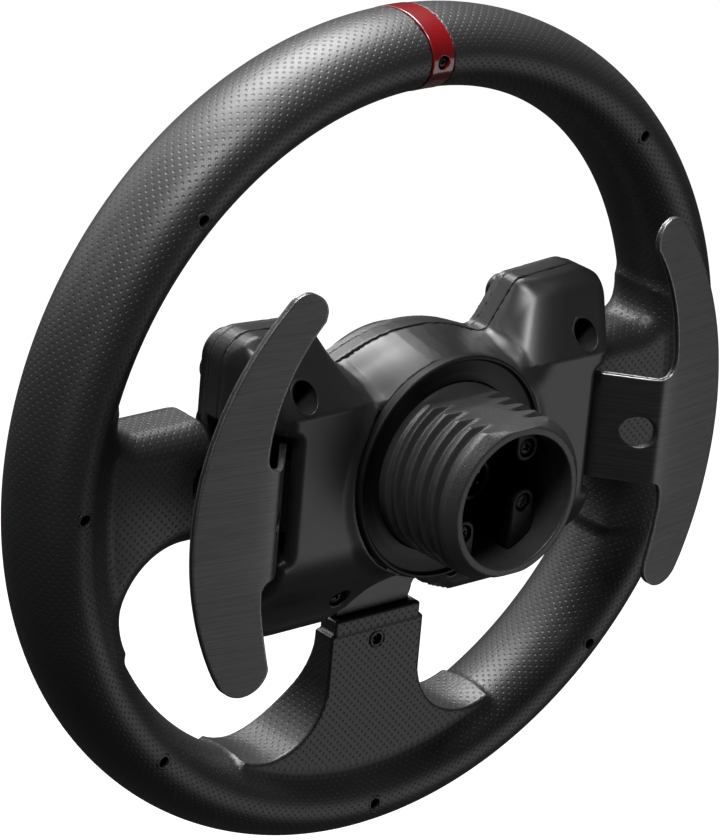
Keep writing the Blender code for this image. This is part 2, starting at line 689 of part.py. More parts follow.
def make_housing():
    far = 200 * MM
    back = housing_form("housing_back", 0, BLACK_PLASTIC)
    join(back, turned("boss_ring", rod_profile(BOSS_RADIUS, PARTING - 5 * MM, COLLAR_SEAT + 0.6 * MM),
                      TURN_STEPS, None, False, CUTTERS))
    cavity = housing_form("cavity_back", WALL, None, CUTTERS)
    for side in (-1, 1):
        well_boss(cavity, side * EAR_WELL[0], EAR_WELL[1], EAR_WELL_RADIUS)
        well_boss(cavity, side * CHIN_WELL[0], CHIN_WELL[1], CHIN_WELL_RADIUS)
    cut(back, cavity)
    cut(back, box("front_of_parting", (-far, -far, -far), (far, PARTING + GAP / 2, far), None, CUTTERS))
    cut(back, turned("collar_seat", rod_profile(COLLAR_RADIUS + GAP, COLLAR_SEAT, far), TURN_STEPS,
                     None, False, CUTTERS))
    cut(back, turned("tube_hole", rod_profile(TUBE_RADIUS + GAP, 0, far), TURN_STEPS, None, False,
                     CUTTERS))
    for side in (-1, 1):
        low, high = sorted((side * (NOTCH_X - 6 * MM), side * (NOTCH_X + 6 * MM)))
        cut(back, box("tab_window", (low, PARTING + 5 * MM, -NOTCH_HALF + 0.7 * MM),
                      (high, HOUSING_BACK - WALL - 0.8 * MM, NOTCH_HALF - 0.7 * MM), None, CUTTERS))
        well(back, side * EAR_WELL[0], EAR_WELL[1], EAR_WELL_RADIUS, EAR_WELL_FLOOR, 2.2 * MM)
        well(back, side * CHIN_WELL[0], CHIN_WELL[1], CHIN_WELL_RADIUS, CHIN_WELL_FLOOR, 1.6 * MM)

    front = housing_form("housing_front", 0, BLACK_PLASTIC)
    cut(front, housing_form("cavity_front", WALL, None, CUTTERS))
    cut(front, box("plate_side", (-far, -far, -far), (far, PLATE_BACK + GAP, far), None, CUTTERS))
    cut(front, box("back_side", (-far, PARTING - GAP / 2, -far), (far, far, far), None, CUTTERS))

    ear = turned("ear_screw_right",
                 screw_profile(4.0 * MM, EAR_WELL_FLOOR + GAP, EAR_WELL_FLOOR + 3 * MM, 1.8 * MM,
                               PLATE_BACK + GAP),
                 10, DARK_STEEL)
    ear.location = (EAR_WELL[0], 0, EAR_WELL[1])
    copy_of(ear, "ear_screw_left").location = (-EAR_WELL[0], 0, EAR_WELL[1])
    chin = turned("chin_screw_right",
                  screw_profile(3.0 * MM, CHIN_WELL_FLOOR + GAP, CHIN_WELL_FLOOR + 2.2 * MM, 1.2 * MM,
                                PLATE_BACK + GAP),
                  10, DARK_STEEL)
    chin.location = (CHIN_WELL[0], 0, CHIN_WELL[1])
    copy_of(chin, "chin_screw_left").location = (-CHIN_WELL[0], 0, CHIN_WELL[1])


def make_plate():
    outline = rounded(inset(hub_corners(spokes=True), PLATE_INSET))
    plate = flat("spoke_plate", [outline], PLATE_FRONT, PLATE_BACK, SATIN_METAL)
    for side in (-1, 1):
        for x, z in BUTTONS:
            cut_hole(plate, side * x, z, BUTTON_STEM + 0.5 * MM, 0, PLATE_BACK * 1.5)
    cut_hole(plate, *PAD_CENTRE, 4.4 * MM, 0, PLATE_BACK * 1.5)
    cut_hole(plate, *DIAL_CENTRE, 3.6 * MM, 0, PLATE_BACK * 1.5)


# ---------------------------------------------------------------- quick-release tube

def tube_profile():
    """Down the outside from the mouth to the flange, then back up the bore."""
    valley = TUBE_RADIUS - THREAD_DEPTH
    profile = [(TUBE_LIP, TUBE_REACH), (TUBE_RADIUS - 0.4 * MM, TUBE_REACH - 3.2 * MM),
               (TUBE_RADIUS, TUBE_REACH - 4.6 * MM)]
    for i in range(THREAD_CRESTS):
        crest = THREAD_START + THREAD_PITCH * (THREAD_CRESTS - 1 - i)
        profile += [(valley, crest + THREAD_PITCH * 0.42), (TUBE_RADIUS, crest)]
    flange_back = PLATE_BACK + GAP + FLANGE_THICKNESS
    profile += [
        (TUBE_RADIUS, flange_back),
        (FLANGE_RADIUS, flange_back),
        (FLANGE_RADIUS, PLATE_BACK + GAP),
        (TUBE_BORE, PLATE_BACK + GAP),
        (TUBE_BORE, TUBE_REACH),
    ]
    return profile


def lug_outline(x, z, side, half, outer):
    """An upright tongue with a round end about (x, z), that runs up or down to the bore."""
    tongue = arc(x, z, half, 180 if side > 0 else 0, 360 if side > 0 else 180, 6)
    ends = [x + half, x, x - half] if side > 0 else [x - half, x, x + half]
    return tongue + [(end, side * math.sqrt(outer ** 2 - end ** 2)) for end in ends]


def make_tube():
    tube = turned("release_tube", tube_profile(), TURN_STEPS, GREY_NYLON, closed=True)
    for side in (-1, 1):
        low, high = sorted((side * TUBE_FLAT, side * 2 * TUBE_FLAT))
        cut(tube, box("tube_flat", (-60 * MM, COLLAR_BACK - 1 * MM, low),
                      (60 * MM, TUBE_REACH * 1.5, high), None, CUTTERS))
    ring = [(COLLAR_RADIUS - 1.2 * MM, COLLAR_BACK), (COLLAR_RADIUS, COLLAR_BACK - 1.2 * MM),
            (COLLAR_RADIUS, COLLAR_SEAT + GAP), (TUBE_RADIUS + GAP, COLLAR_SEAT + GAP),
            (TUBE_RADIUS + GAP, COLLAR_BACK - 1.8 * MM), (COLLAR_RADIUS - 3.0 * MM, COLLAR_BACK - 1.8 * MM),
            (COLLAR_RADIUS - 3.0 * MM, COLLAR_BACK)]
    turned("collar_ring", ring, TURN_STEPS, GASKET, closed=True)

    outer = TUBE_BORE - GAP
    insert = turned("connector_insert", rod_profile(outer, INSERT_FACE - 4 * MM, INSERT_FACE),
                    24, BLACK_PLASTIC)
    for index, (x, z, side) in enumerate(LUGS):
        lug = flat("lug", [lug_outline(x, z, side, LUG_HALF, outer * 0.985)],
                   INSERT_FACE - 2 * MM, LUG_FACE, None, UPRIGHT, CUTTERS)
        join(insert, lug)
        cut_hole(insert, x, z, 1.6 * MM, LUG_FACE - 6 * MM, LUG_FACE * 1.2, 8)
        screw = turned(f"insert_screw_{index + 1}",
                       screw_profile(2.6 * MM, LUG_FACE + GAP, LUG_FACE + 2 * MM, 1.2 * MM,
                                     LUG_FACE - 5 * MM), 10, STEEL)
        screw.location = (x, 0, z)
    rim, floor = INSERT_FACE + SOCKET_HEIGHT, INSERT_FACE + 2 * MM
    socket = [(0, floor), (SOCKET_RADIUS - SOCKET_WALL, floor), (SOCKET_RADIUS - SOCKET_WALL, rim),
              (SOCKET_RADIUS, rim), (SOCKET_RADIUS, INSERT_FACE + GAP), (0, INSERT_FACE + GAP)]
    turned("connector_socket", socket, 16, GLOSS_BLACK)


# ---------------------------------------------------------------- paddles

def paddle_outline():
    """The blade and its tab as seen from behind, clockwise from the tab's upper corner."""
    top_x, top_z, top_r = TIP_TOP
    low_x, low_z, low_r = TIP_BOTTOM
    top_angle = math.degrees(math.atan2(top_z, top_x))
    low_angle = math.degrees(math.atan2(low_z, low_x))
    inner_top = arc_through((top_x - top_r * 0.93, top_z - top_r * 0.37), (78.2 * MM, 49 * MM),
                            (83.9 * MM, 27 * MM), 6)
    inner_low = arc_through((82.8 * MM, -26 * MM), (81.2 * MM, -35 * MM),
                            (low_x - low_r * 0.99, low_z - low_r * 0.1), 4)
    points = [(TAB_END_X, TAB_TOP), (79.2 * MM, TAB_TOP)]
    points += arc(79.2 * MM, TAB_TOP + 4.7 * MM, 4.7 * MM, 300, 360, 2)
    points += list(reversed(inner_top))
    points += arc(top_x, top_z, top_r, 200 - 20, top_angle, 6)
    points += arc(0, 0, BLADE_OUTER, top_angle - 2, low_angle + 2, 10)
    points += arc(low_x, low_z, low_r, low_angle, low_angle - 140, 6)
    points += list(reversed(inner_low))
    points += arc(78.6 * MM, TAB_BOTTOM - 4.2 * MM, 4.2 * MM, 0, 60, 2)
    points += [(78.6 * MM, TAB_BOTTOM), (TAB_END_X, TAB_BOTTOM)]
    return points


def fold(mesh):
    """Leans the blade forward and folds the tab in at its bend."""
    work = bmesh.new()
    work.from_mesh(mesh)
    for x in (BEND_X - 1 * MM, BEND_X, BEND_X + 1 * MM):
        everything = work.verts[:] + work.edges[:] + work.faces[:]
        bmesh.ops.bisect_plane(work, geom=everything, plane_co=(x, 0, 0), plane_no=(1, 0, 0))
    for vertex in work.verts:
        out = vertex.co.x - BEND_X
        folded = abs(vertex.co.z) < TAB_TOP + 5 * MM
        slope = TAB_SLOPE if folded and out < -0.5 * MM else -BLADE_LEAN
        if folded and abs(out) < 0.5 * MM:
            slope = (TAB_SLOPE - BLADE_LEAN) / 2
        middle = BLADE_BACK + out * (TAB_SLOPE if folded and out < 0 else -BLADE_LEAN)
        vertex.co.y = middle + vertex.co.y * math.hypot(1, slope)
    work.to_mesh(mesh)
    work.free()


def make_paddle():
    hole = [
        (74.6 * MM + 4.2 * MM * math.cos(2 * math.pi * i / 12), 5.2 * MM * math.sin(2 * math.pi * i / 12))
        for i in range(12)
    ]
    mesh = flat_mesh([paddle_outline(), hole], -BLADE_THICKNESS, 0)
    fold(mesh)
    blade = finish("paddle_right", mesh, BLACK_METAL)
    set_origin(blade, (*PIVOT, 0))
    flipped(blade, "paddle_left")

    # The lever lies behind the tab's inner end, with the pin's hub beyond that end.
    slant = math.hypot(1, TAB_SLOPE)
    along = (-1 / slant, -TAB_SLOPE / slant)
    behind = (-TAB_SLOPE / slant, 1 / slant)

    def beside(distance, offset):
        return (BEND_X + along[0] * distance + behind[0] * offset,
                BLADE_BACK + along[1] * distance + behind[1] * offset)

    outline = [(*beside(26 * MM, GAP), 0), (*beside(26 * MM, 4.0 * MM), 1 * MM),
               (PIVOT[0] - 4 * MM, PIVOT[1] + 3 * MM, 2 * MM),
               (PIVOT[0] - 4 * MM, PIVOT[1] - 4 * MM, 3 * MM),
               (PIVOT[0] + 3.6 * MM, PIVOT[1] - 4 * MM, 1 * MM),
               (PIVOT[0] + 3.6 * MM, PIVOT[1] + 2.2 * MM, 0)]
    lever = flat("paddle_lever_right", [rounded(list(reversed(outline)))], -LEVER_HALF, LEVER_HALF,
                 BLACK_PLASTIC, Matrix.Identity(4))
    set_origin(lever, (*PIVOT, 0))
    tool = finish("pin_bore", pin_mesh(PIN_RADIUS + GAP, PIN_HALF * 2), None, CUTTERS)
    tool.location = (*PIVOT, 0)
    cut(lever, tool)
    flipped(bake(lever), "paddle_lever_left")
    make_paddle_fittings()


def pin_mesh(radius, half):
    """A rod along Z, centred on the origin."""
    mesh = turned_mesh(rod_profile(radius, -half, half), 10)
    mesh.transform(UPRIGHT)
    return mesh


def bake(source):
    """Applies an object's modifiers to its mesh."""
    bpy.context.view_layer.update()
    graph = bpy.context.evaluated_depsgraph_get()
    source.data = bpy.data.meshes.new_from_object(source.evaluated_get(graph))
    source.modifiers.clear()
    return source


def coil_mesh(radius, wire, length, turns):
    """A helical spring along Y, from the origin back."""
    curve = bpy.data.curves.new("coil", "CURVE")
    curve.dimensions = "3D"
    curve.bevel_depth = wire
    curve.bevel_resolution = 0
    curve.use_fill_caps = True
    spline = curve.splines.new("POLY")
    count = turns * 8 + 1
    spline.points.add(count - 1)
    for i, point in enumerate(spline.points):
        angle = 2 * math.pi * i / 8
        along = wire + (length - 2 * wire) * i / (count - 1)
        point.co = (radius * math.cos(angle), along, radius * math.sin(angle), 1)
    temporary = bpy.data.objects.new("coil", curve)
    bpy.context.scene.collection.objects.link(temporary)
    return merged(mesh_of(temporary), Matrix.Identity(4))


def make_paddle_fittings():
    """Bracket, pin, spring, switch and stop pad for each paddle."""
    px, py = PIVOT
    base = BOARD_BACK + GAP
    lug = LEVER_HALF + GAP
    side = [(base, -lug - 2.5 * MM), (base, lug + 2.5 * MM), (py + 4 * MM, lug + 2.5 * MM),
            (py + 4 * MM, lug), (base + 1.6 * MM, lug), (base + 1.6 * MM, -lug),
            (py + 4 * MM, -lug), (py + 4 * MM, -lug - 2.5 * MM)]
    bracket = flat("paddle_bracket_right", [list(reversed(side))], px - 4 * MM, px + 4 * MM,
                   STEEL, ALONG_X)
    set_origin(bracket, (*PIVOT, 0))
    tool = finish("bracket_bore", pin_mesh(PIN_RADIUS + GAP, PIN_HALF * 2), None, CUTTERS)
    tool.location = (*PIVOT, 0)
    cut(bracket, tool)
    flipped(bake(bracket), "paddle_bracket_left")

    pin = finish("paddle_pin_right", pin_mesh(PIN_RADIUS, PIN_HALF), STEEL)
    pin.location = (*PIVOT, 0)
    flipped(pin, "paddle_pin_left")

    tab_front = BLADE_BACK + TAB_SLOPE * (SPRING_X - SPRING_RADIUS - BEND_X)
    tab_front -= BLADE_THICKNESS * math.hypot(1, TAB_SLOPE)
    coil = coil_mesh(SPRING_RADIUS - SPRING_WIRE, SPRING_WIRE, tab_front - GAP - base, 4)
    spring = finish("paddle_spring_right", coil, STEEL)
    spring.location = (SPRING_X, base, 0)
    flipped(spring, "paddle_spring_left")

    switch = box("paddle_switch_right", (38.6 * MM, base, -6.4 * MM), (44.6 * MM, base + 6 * MM, 6.4 * MM),
                 GLOSS_BLACK)
    flipped(switch, "paddle_switch_left")

    stop = turned("paddle_stop_right", [(0, 12.0 * MM), (STOP_RADIUS - 1 * MM, 12.0 * MM),
                                        (STOP_RADIUS, 11.0 * MM), (STOP_RADIUS, PLATE_BACK + GAP),
                                        (0, PLATE_BACK + GAP)], 16, GASKET)
    stop.location = (STOP_X, 0, 0)
    flipped(stop, "paddle_stop_left")


# ---------------------------------------------------------------- front controls

def make_board():
    outline = rounded(inset(hub_corners(notch=True), WALL + BOARD_MARGIN), HIDDEN_TURN)
    board = flat("main_board", [outline], BOARD_FRONT, BOARD_BACK, BOARD_GREEN)
    chin = Vector((0, 1, -CHIN_SLOPE)).normalized()
    edge = Vector((0, HOUSING_BACK, BACK_CREASE_BOTTOM)) - chin * (WALL + BOARD_MARGIN)
    cut(board, slope_tool("board_chin", edge, (-1, 0, 0), chin))
    cut_hole(board, 0, 0, FLANGE_RADIUS + 2 * GAP, 0, HOUSING_BACK, 24)
    for side in (-1, 1):
        cut_hole(board, side * EAR_WELL[0], EAR_WELL[1], 2.4 * MM, 0, HOUSING_BACK, 10)
        cut_hole(board, side * CHIN_WELL[0], CHIN_WELL[1], 1.8 * MM, 0, HOUSING_BACK, 10)


def ear_outline():
    """The trim over one ear and its three buttons."""
    corners = [
        (41.0 * MM, HUB_EAR_TOP - 4 * MM, 5 * MM),
        (HUB_HALF_WIDTH - 1.5 * MM, HUB_EAR_TOP - 1.5 * MM, 8 * MM),
        (HUB_HALF_WIDTH - 1.5 * MM, 6.5 * MM, 6 * MM),
        (57.5 * MM, 6.5 * MM, 6 * MM),
        (57.5 * MM, 24.0 * MM, 6 * MM),
        (41.0 * MM, 24.0 * MM, 5 * MM),
    ]
    return rounded(corners)


def make_buttons():
    trim = flat("ear_trim_right", [ear_outline()], TRIM_FRONT, TRIM_BACK, GLOSS_BLACK)
    for x, z in BUTTONS:
        cut_hole(trim, x, z, BUTTON_RADIUS + GAP, -10 * MM, 10 * MM)
    flipped(bake(trim), "ear_trim_left")
    rear = TRIM_BACK - BUTTON_TRAVEL - GAP
    stem_end = BOARD_FRONT - BUTTON_TRAVEL - GAP
    profile = [(0, stem_end), (BUTTON_STEM, stem_end), (BUTTON_STEM, rear), (BUTTON_RADIUS, rear),
               (BUTTON_RADIUS, BUTTON_FRONT + 0.8 * MM), (BUTTON_RADIUS - 0.8 * MM, BUTTON_FRONT),
               (0, BUTTON_FRONT)]
    for side, label in ((1, "right"), (-1, "left")):
        for index, (x, z) in enumerate(BUTTONS):
            button = turned(f"button_{label}_{index + 1}", profile, 14, BUTTON_COLOURS[index])
            button.location = (side * x, 0, z)


def make_direction_pad():
    x, z = PAD_CENTRE
    tip, arm, edge = PAD_HALF, PAD_ARM, 1 * MM
    end = arm - 0.3 * MM
    cross = [(-end, tip, edge), (end, tip, edge), (arm, arm, 0), (tip, end, edge),
             (tip, -end, edge), (arm, -arm, 0), (end, -tip, edge), (-end, -tip, edge),
             (-arm, -arm, 0), (-tip, -end, edge), (-tip, end, edge), (-arm, arm, 0)]
    pad = flat("direction_pad", [rounded(cross, HIDDEN_TURN)], -1.5 * MM, 3.2 * MM, GLOSS_BLACK)
    join(pad, cylinder("pad_stem", 2.2 * MM, 2 * MM, BOARD_FRONT - 0.6 * MM, 0, 0, 10, None, CUTTERS))
    set_origin(bake(pad), (0, PAD_PIVOT_Y, 0))
    pad.location = (x, PAD_PIVOT_Y, z)
    ring = [(4.6 * MM, 1.2 * MM), (4.6 * MM, -1.2 * MM), (2.6 * MM, -1.2 * MM), (2.6 * MM, 1.2 * MM)]
    gimbal = turned("pad_gimbal", ring, 14, STEEL, closed=True)
    gimbal.location = (x, PAD_PIVOT_Y, z)


def make_dial():
    x, z = DIAL_CENTRE
    front, back = DIAL_FRONT, TRIM_BACK - 0.6 * MM
    knob = [(0, BOARD_FRONT - 3 * MM), (3 * MM, BOARD_FRONT - 3 * MM), (3 * MM, back), (DIAL_RADIUS, back),
            (DIAL_RADIUS, back - 2.4 * MM), (DIAL_RADIUS * 0.82, back - 3.4 * MM),
            (DIAL_RADIUS * 0.78, front + 1 * MM), (DIAL_RADIUS * 0.68, front), (0, front)]
    dial = turned("selector_dial", knob, 20, GLOSS_BLACK)
    dial.location = (x, 0, z)
    encoder = box("dial_encoder", (x - 6 * MM, BOARD_FRONT - 2.4 * MM, z - 6 * MM),
                  (x + 6 * MM, BOARD_FRONT - GAP, z + 6 * MM), STEEL)
    encoder.location = (0, 0, 0)


def make_centre():
    ring = [(COVER_RING_RADIUS, TRIM_BACK), (COVER_RING_RADIUS, -1 * MM),
            (COVER_RING_RADIUS - 4 * MM, -5 * MM), (CAP_RADIUS + GAP, -6 * MM),
            (CAP_RADIUS + GAP, TRIM_BACK)]
    turned("centre_cover", ring, TURN_STEPS, BLACK_PLASTIC, closed=True)
    dome = [(0, TRIM_BACK), (CAP_RADIUS, TRIM_BACK), (CAP_RADIUS, -6.4 * MM),
            (CAP_RADIUS * 0.9, -8.0 * MM), (CAP_RADIUS * 0.5, CAP_FRONT), (0, CAP_FRONT)]
    turned("centre_cap", dome, TURN_STEPS, GLOSS_BLACK)
    cover_screw = turned("cover_screw", screw_profile(2.0 * MM, 9.2 * MM, 10.8 * MM, 1.0 * MM,
                                                     PLATE_BACK + GAP), 8, DARK_STEEL)
    cover_screw.location = (0, 0, COVER_SCREW_Z)


make_rim()
make_housing()
make_plate()
make_tube()
make_paddle()
make_board()
make_buttons()
make_direction_pad()
make_dial()
make_centre()
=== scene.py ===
# %% [markdown]
# # Racing wheel, seen from behind
# The wheel has a round rubber grip with small dimples, a red band at 12 o'clock, a black hub
# housing with two brushed metal paddles, and a grey nylon tube with an interrupted thread that
# locks it to its base. The rigid frame already gives every piece its place and size. This
# lesson adds the fine surface: fillets, dimples, a real helix, cross recesses and grain.

import json
import math

import bmesh
import bpy
import numpy as np
from mathutils import Matrix, Vector


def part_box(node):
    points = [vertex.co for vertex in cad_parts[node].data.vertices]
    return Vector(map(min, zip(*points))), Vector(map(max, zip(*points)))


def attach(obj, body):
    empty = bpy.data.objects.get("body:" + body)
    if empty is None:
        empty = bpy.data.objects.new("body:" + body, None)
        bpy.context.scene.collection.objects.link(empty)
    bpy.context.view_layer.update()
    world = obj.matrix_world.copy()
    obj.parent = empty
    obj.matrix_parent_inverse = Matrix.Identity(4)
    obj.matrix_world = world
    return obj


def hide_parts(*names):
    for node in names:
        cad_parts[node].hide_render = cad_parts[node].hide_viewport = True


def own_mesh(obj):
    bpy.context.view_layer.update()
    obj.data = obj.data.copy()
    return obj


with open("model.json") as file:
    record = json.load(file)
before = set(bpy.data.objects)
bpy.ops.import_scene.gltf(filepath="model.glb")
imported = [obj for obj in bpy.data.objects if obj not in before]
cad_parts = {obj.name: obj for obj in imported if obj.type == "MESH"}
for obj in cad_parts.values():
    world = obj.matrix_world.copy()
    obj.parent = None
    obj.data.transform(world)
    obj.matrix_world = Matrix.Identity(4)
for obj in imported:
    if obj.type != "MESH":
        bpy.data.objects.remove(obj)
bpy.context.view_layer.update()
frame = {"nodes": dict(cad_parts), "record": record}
NODES = frame["nodes"]

# %% [markdown]
# ## Units and axes
# Every piece is worked out in millimetres about the middle of the rim, with the wheel's axis
# along Y, +Y behind and +Z up. One shift along Y then takes it to the frame, whose origin is
# the mouth of the tube. The shift is measured from the red band, which is centred on the rim.

# %% Units
MM = 0.001
band_low, band_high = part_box("centre_band")
SHIFT_Y = (band_low.y + band_high.y) / 2
TUBE_MOUTH = -SHIFT_Y / MM
print("rim's middle at y =", round(SHIFT_Y, 5), "m")

# %% [markdown]
# ## From arrays to meshes
# A piece is a set of points, a set of faces, and a finish. Whole arrays go to Blender at once,
# which is fast even for a hundred thousand points.

# %% Mesh helper
MATERIALS = {}
COUNTS = {}
POLE = 8e-6                     # points nearer than this, in metres, are one point


def piece(name, points, faces, finish, body="wheel", slot=None, normals=None, hides=()):
    """Makes an object from points in millimetres and faces, and lets it ride on a body."""
    mesh = bpy.data.meshes.new(name)
    rows = np.asarray(points, float) * MM
    rows[:, 1] += SHIFT_Y
    faces = np.asarray(faces, np.int32)
    a, b, c, d = (rows[faces[:, k]] for k in (0, 1, 2, -1))
    if (a * (np.cross(b, c) + np.cross(c, d))).sum() < 0:
        faces = faces[:, ::-1]
    mesh.vertices.add(len(rows))
    mesh.vertices.foreach_set("co", rows.astype(np.float32).ravel())
    corners = faces.shape[1]
    mesh.loops.add(faces.size)
    mesh.loops.foreach_set("vertex_index", faces.ravel())
    mesh.polygons.add(len(faces))
    mesh.polygons.foreach_set("loop_start", np.arange(0, faces.size, corners, dtype=np.int32))
    mesh.polygons.foreach_set("loop_total", np.full(len(faces), corners, np.int32))
    mesh.update(calc_edges=True)
    if normals is None:
        whole = bmesh.new()
        whole.from_mesh(mesh)
        bmesh.ops.remove_doubles(whole, verts=whole.verts, dist=POLE)
        whole.to_mesh(mesh)
        whole.free()
    mesh.validate()
    mesh.shade_smooth()
    if normals is not None and len(normals) == len(mesh.vertices):
        mesh.normals_split_custom_set_from_vertices(np.asarray(normals, np.float32))
    made = bpy.data.objects.new(name, mesh)
    bpy.context.scene.collection.objects.link(made)
    mesh.materials.append(MATERIALS[finish])
    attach(made, body)
    if hides:
        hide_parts(*hides)
    COUNTS[name] = len(faces) * (corners - 2)
    print(f"{name}: {len(rows)} points, {COUNTS[name]} triangles")
    return made


# %% [markdown]
# ## Shapes as distance fields
# Moulded rubber and plastic have soft fillets everywhere, where one form runs into the next.
# Sweeps and Booleans give hard seams there. A distance field gives the fillet for nothing: each
# form is a function that is negative inside and positive outside, two forms are joined with a
# rounded minimum, and the surface is where the sum is zero. A net of squares is then laid over
# that zero surface, and each point slides down the field's slope until it lies on it.

# %% Ways to combine fields
def join(a, b, radius):
    """Union of two fields, with a fillet of that radius between them."""
    corner = np.hypot(np.maximum(radius - a, 0), np.maximum(radius - b, 0))
    return np.maximum(radius, np.minimum(a, b)) - corner


def common(a, b, radius):
    """What two fields share, with a rounded edge of that radius."""
    corner = np.hypot(np.maximum(radius + a, 0), np.maximum(radius + b, 0))
    return np.minimum(-radius, np.maximum(a, b)) + corner


def without(a, b, radius):
    """The first field with the second cut out of it, and its edges rounded."""
    return common(a, -b, radius)


def outline_field(x, z, corners):
    """Distance to a closed outline: the nearest of its edges, negative when an upward edge
    count says that the point is inside."""
    shape = np.broadcast(x, z).shape
    best = np.full(shape, 1e9)
    inside = np.zeros(shape, bool)
    for (ax, az), (bx, bz) in zip(corners, corners[1:] + corners[:1]):
        ex, ez = bx - ax, bz - az
        wx, wz = x - ax, z - az
        t = np.clip((wx * ex + wz * ez) / (ex * ex + ez * ez), 0, 1)
        best = np.minimum(best, (wx - ex * t) ** 2 + (wz - ez * t) ** 2)
        if ez:
            inside ^= ((az > z) != (bz > z)) & (wx < ex * wz / ez)
    return np.where(inside, -1, 1) * np.sqrt(best)


def rounded(corners, step=5):
    """Points of an outline of (x, z, radius) corners, each turned on its own arc."""
    points = []
    for i, (x, z, radius) in enumerate(corners):
        before, after = corners[i - 1], corners[(i + 1) % len(corners)]
        a = Vector((x - before[0], z - before[1])).normalized()
        b = Vector((after[0] - x, after[1] - z)).normalized()
        turn = math.atan2(a.x * b.y - a.y * b.x, a.dot(b))
        if radius < 0.05 or abs(turn) < 0.01:
            points.append((x, z))
            continue
        side = Vector((-a.y, a.x)) * math.copysign(radius, turn)
        centre = Vector((x, z)) - a * radius * math.tan(abs(turn) / 2) + side
        count = max(2, math.ceil(math.degrees(abs(turn)) / step))
        start = math.atan2(-side.y, -side.x)
        for k in range(count + 1):
            angle = start + turn * k / count
            points.append((centre.x + radius * math.cos(angle), centre.y + radius * math.sin(angle)))
    return points


def arc(cx, cz, radius, start, end, count):
    """Points on an arc from start to end degrees."""
    turns = np.radians(np.linspace(start, end, count + 1))
    return [(cx + radius * math.cos(t), cz + radius * math.sin(t)) for t in turns]


def rod(x, z, cx, cz, radius):
    """Distance to a round rod along Y."""
    return np.hypot(x - cx, z - cz) - radius


def slab(t, low, high):
    """Distance to the space between two parallel planes."""
    return np.abs(t - (low + high) / 2) - (high - low) / 2


# %% Net over a field
CORNERS = np.array([(i, j, k) for i in (0, 1) for j in (0, 1) for k in (0, 1)])
EDGES = [(a, b) for a in range(8) for b in range(a + 1, 8)
         if abs(CORNERS[a] - CORNERS[b]).sum() == 1]


def slope_of(field, p, d=0.02):
    """The field's gradient at an array of points, by central differences."""
    columns = []
    for axis in range(3):
        step = np.zeros(3)
        step[axis] = d
        ahead, behind = p + step, p - step
        columns.append((field(*ahead.T) - field(*behind.T)) / (2 * d))
    return np.stack(columns, 1)


def unit(rows):
    """Each row divided by its length."""
    return rows / np.maximum(np.linalg.norm(rows, axis=1, keepdims=True), 1e-9)


def net(field, low, high, cell, creases=()):
    """A closed net of squares where the field is zero, its points' normals, and its faces.

    The box is cut into cubes. A cube whose corners differ in sign holds one point, at the mean
    of the places where the field changes sign along its edges. Each grid edge that changes sign
    joins the four cubes about it with a square. The points then move down the field's slope.
    A crease is two surfaces and a share: points near both move onto the line where they meet,
    and the second surface gives that share of their normals.
    """
    grid = [np.arange(a, b + cell, cell) for a, b in zip(low, high)]
    x, y, z = grid[0][:, None, None], grid[1][None, :, None], grid[2][None, None, :]
    shape = tuple(len(g) for g in grid)
    values = np.broadcast_to(field(x, y, z), shape).astype(np.float32)
    inside = values < 0
    sizes = [n - 1 for n in shape]
    count = np.zeros(sizes, np.int8)
    for i, j, k in CORNERS:
        count += inside[i:i + sizes[0], j:j + sizes[1], k:k + sizes[2]]
    cells = np.argwhere((count > 0) & (count < 8))
    number = np.full(sizes, -1, np.int32)
    number[tuple(cells.T)] = np.arange(len(cells))
    at = [values[tuple((cells + c).T)] for c in CORNERS]
    total, hits = np.zeros((len(cells), 3)), np.zeros(len(cells))
    for a, b in EDGES:
        crossing = (at[a] < 0) != (at[b] < 0)
        t = np.where(crossing, at[a] / np.where(crossing, at[a] - at[b], 1), 0)
        place = CORNERS[a] + t[:, None] * (CORNERS[b] - CORNERS[a])
        total += place * crossing[:, None]
        hits += crossing
    points = np.array(low) + (cells + total / hits[:, None]) * cell
    faces = []
    for axis in range(3):
        u, v = (axis + 1) % 3, (axis + 2) % 3
        here = [slice(None)] * 3
        there = [slice(None)] * 3
        here[axis], there[axis] = slice(0, -1), slice(1, None)
        a, b = inside[tuple(here)], inside[tuple(there)]
        edge = np.argwhere(a != b)
        keep = (edge[:, u] > 0) & (edge[:, v] > 0) & (edge[:, u] < sizes[u]) & (edge[:, v] < sizes[v])
        edge = edge[keep]
        ring = []
        for du, dv in ((-1, -1), (0, -1), (0, 0), (-1, 0)):
            cube = edge.copy()
            cube[:, u] += du
            cube[:, v] += dv
            ring.append(number[tuple(cube.T)])
        square = np.stack(ring, 1)
        outward = a[tuple(edge.T)]
        faces.append(np.where(outward[:, None], square, square[:, ::-1]))
    faces = np.concatenate(faces)
    for _ in range(3):
        g = slope_of(field, points)
        f = field(*points.T)
        move = -(f / np.maximum((g * g).sum(1), 0.05))[:, None] * g
        reach = np.linalg.norm(move, axis=1, keepdims=True)
        points = points + move * np.minimum(1, 0.6 * cell / np.maximum(reach, 1e-9))
    g = slope_of(field, points)
    normals = unit(g)
    for first, second, share in creases:
        near = np.maximum(np.abs(first(*points.T)), np.abs(second(*points.T))) < 0.72 * cell
        corner = points[near]
        for surface in (first, second) * 5:
            g = slope_of(surface, corner)
            corner = corner - (surface(*corner.T) / np.maximum((g * g).sum(1), 0.05))[:, None] * g
        points[near] = corner
        normals[near] = unit(unit(slope_of(first, corner)) + share * unit(slope_of(second, corner)))
    return points, faces, normals


# %% [markdown]
# ## Turned and swept pieces
# Screws, rings and the tube are turned: a profile of radius and height goes round an axis. That
# is a grid of rows and columns, so its points and its faces both come from whole arrays.

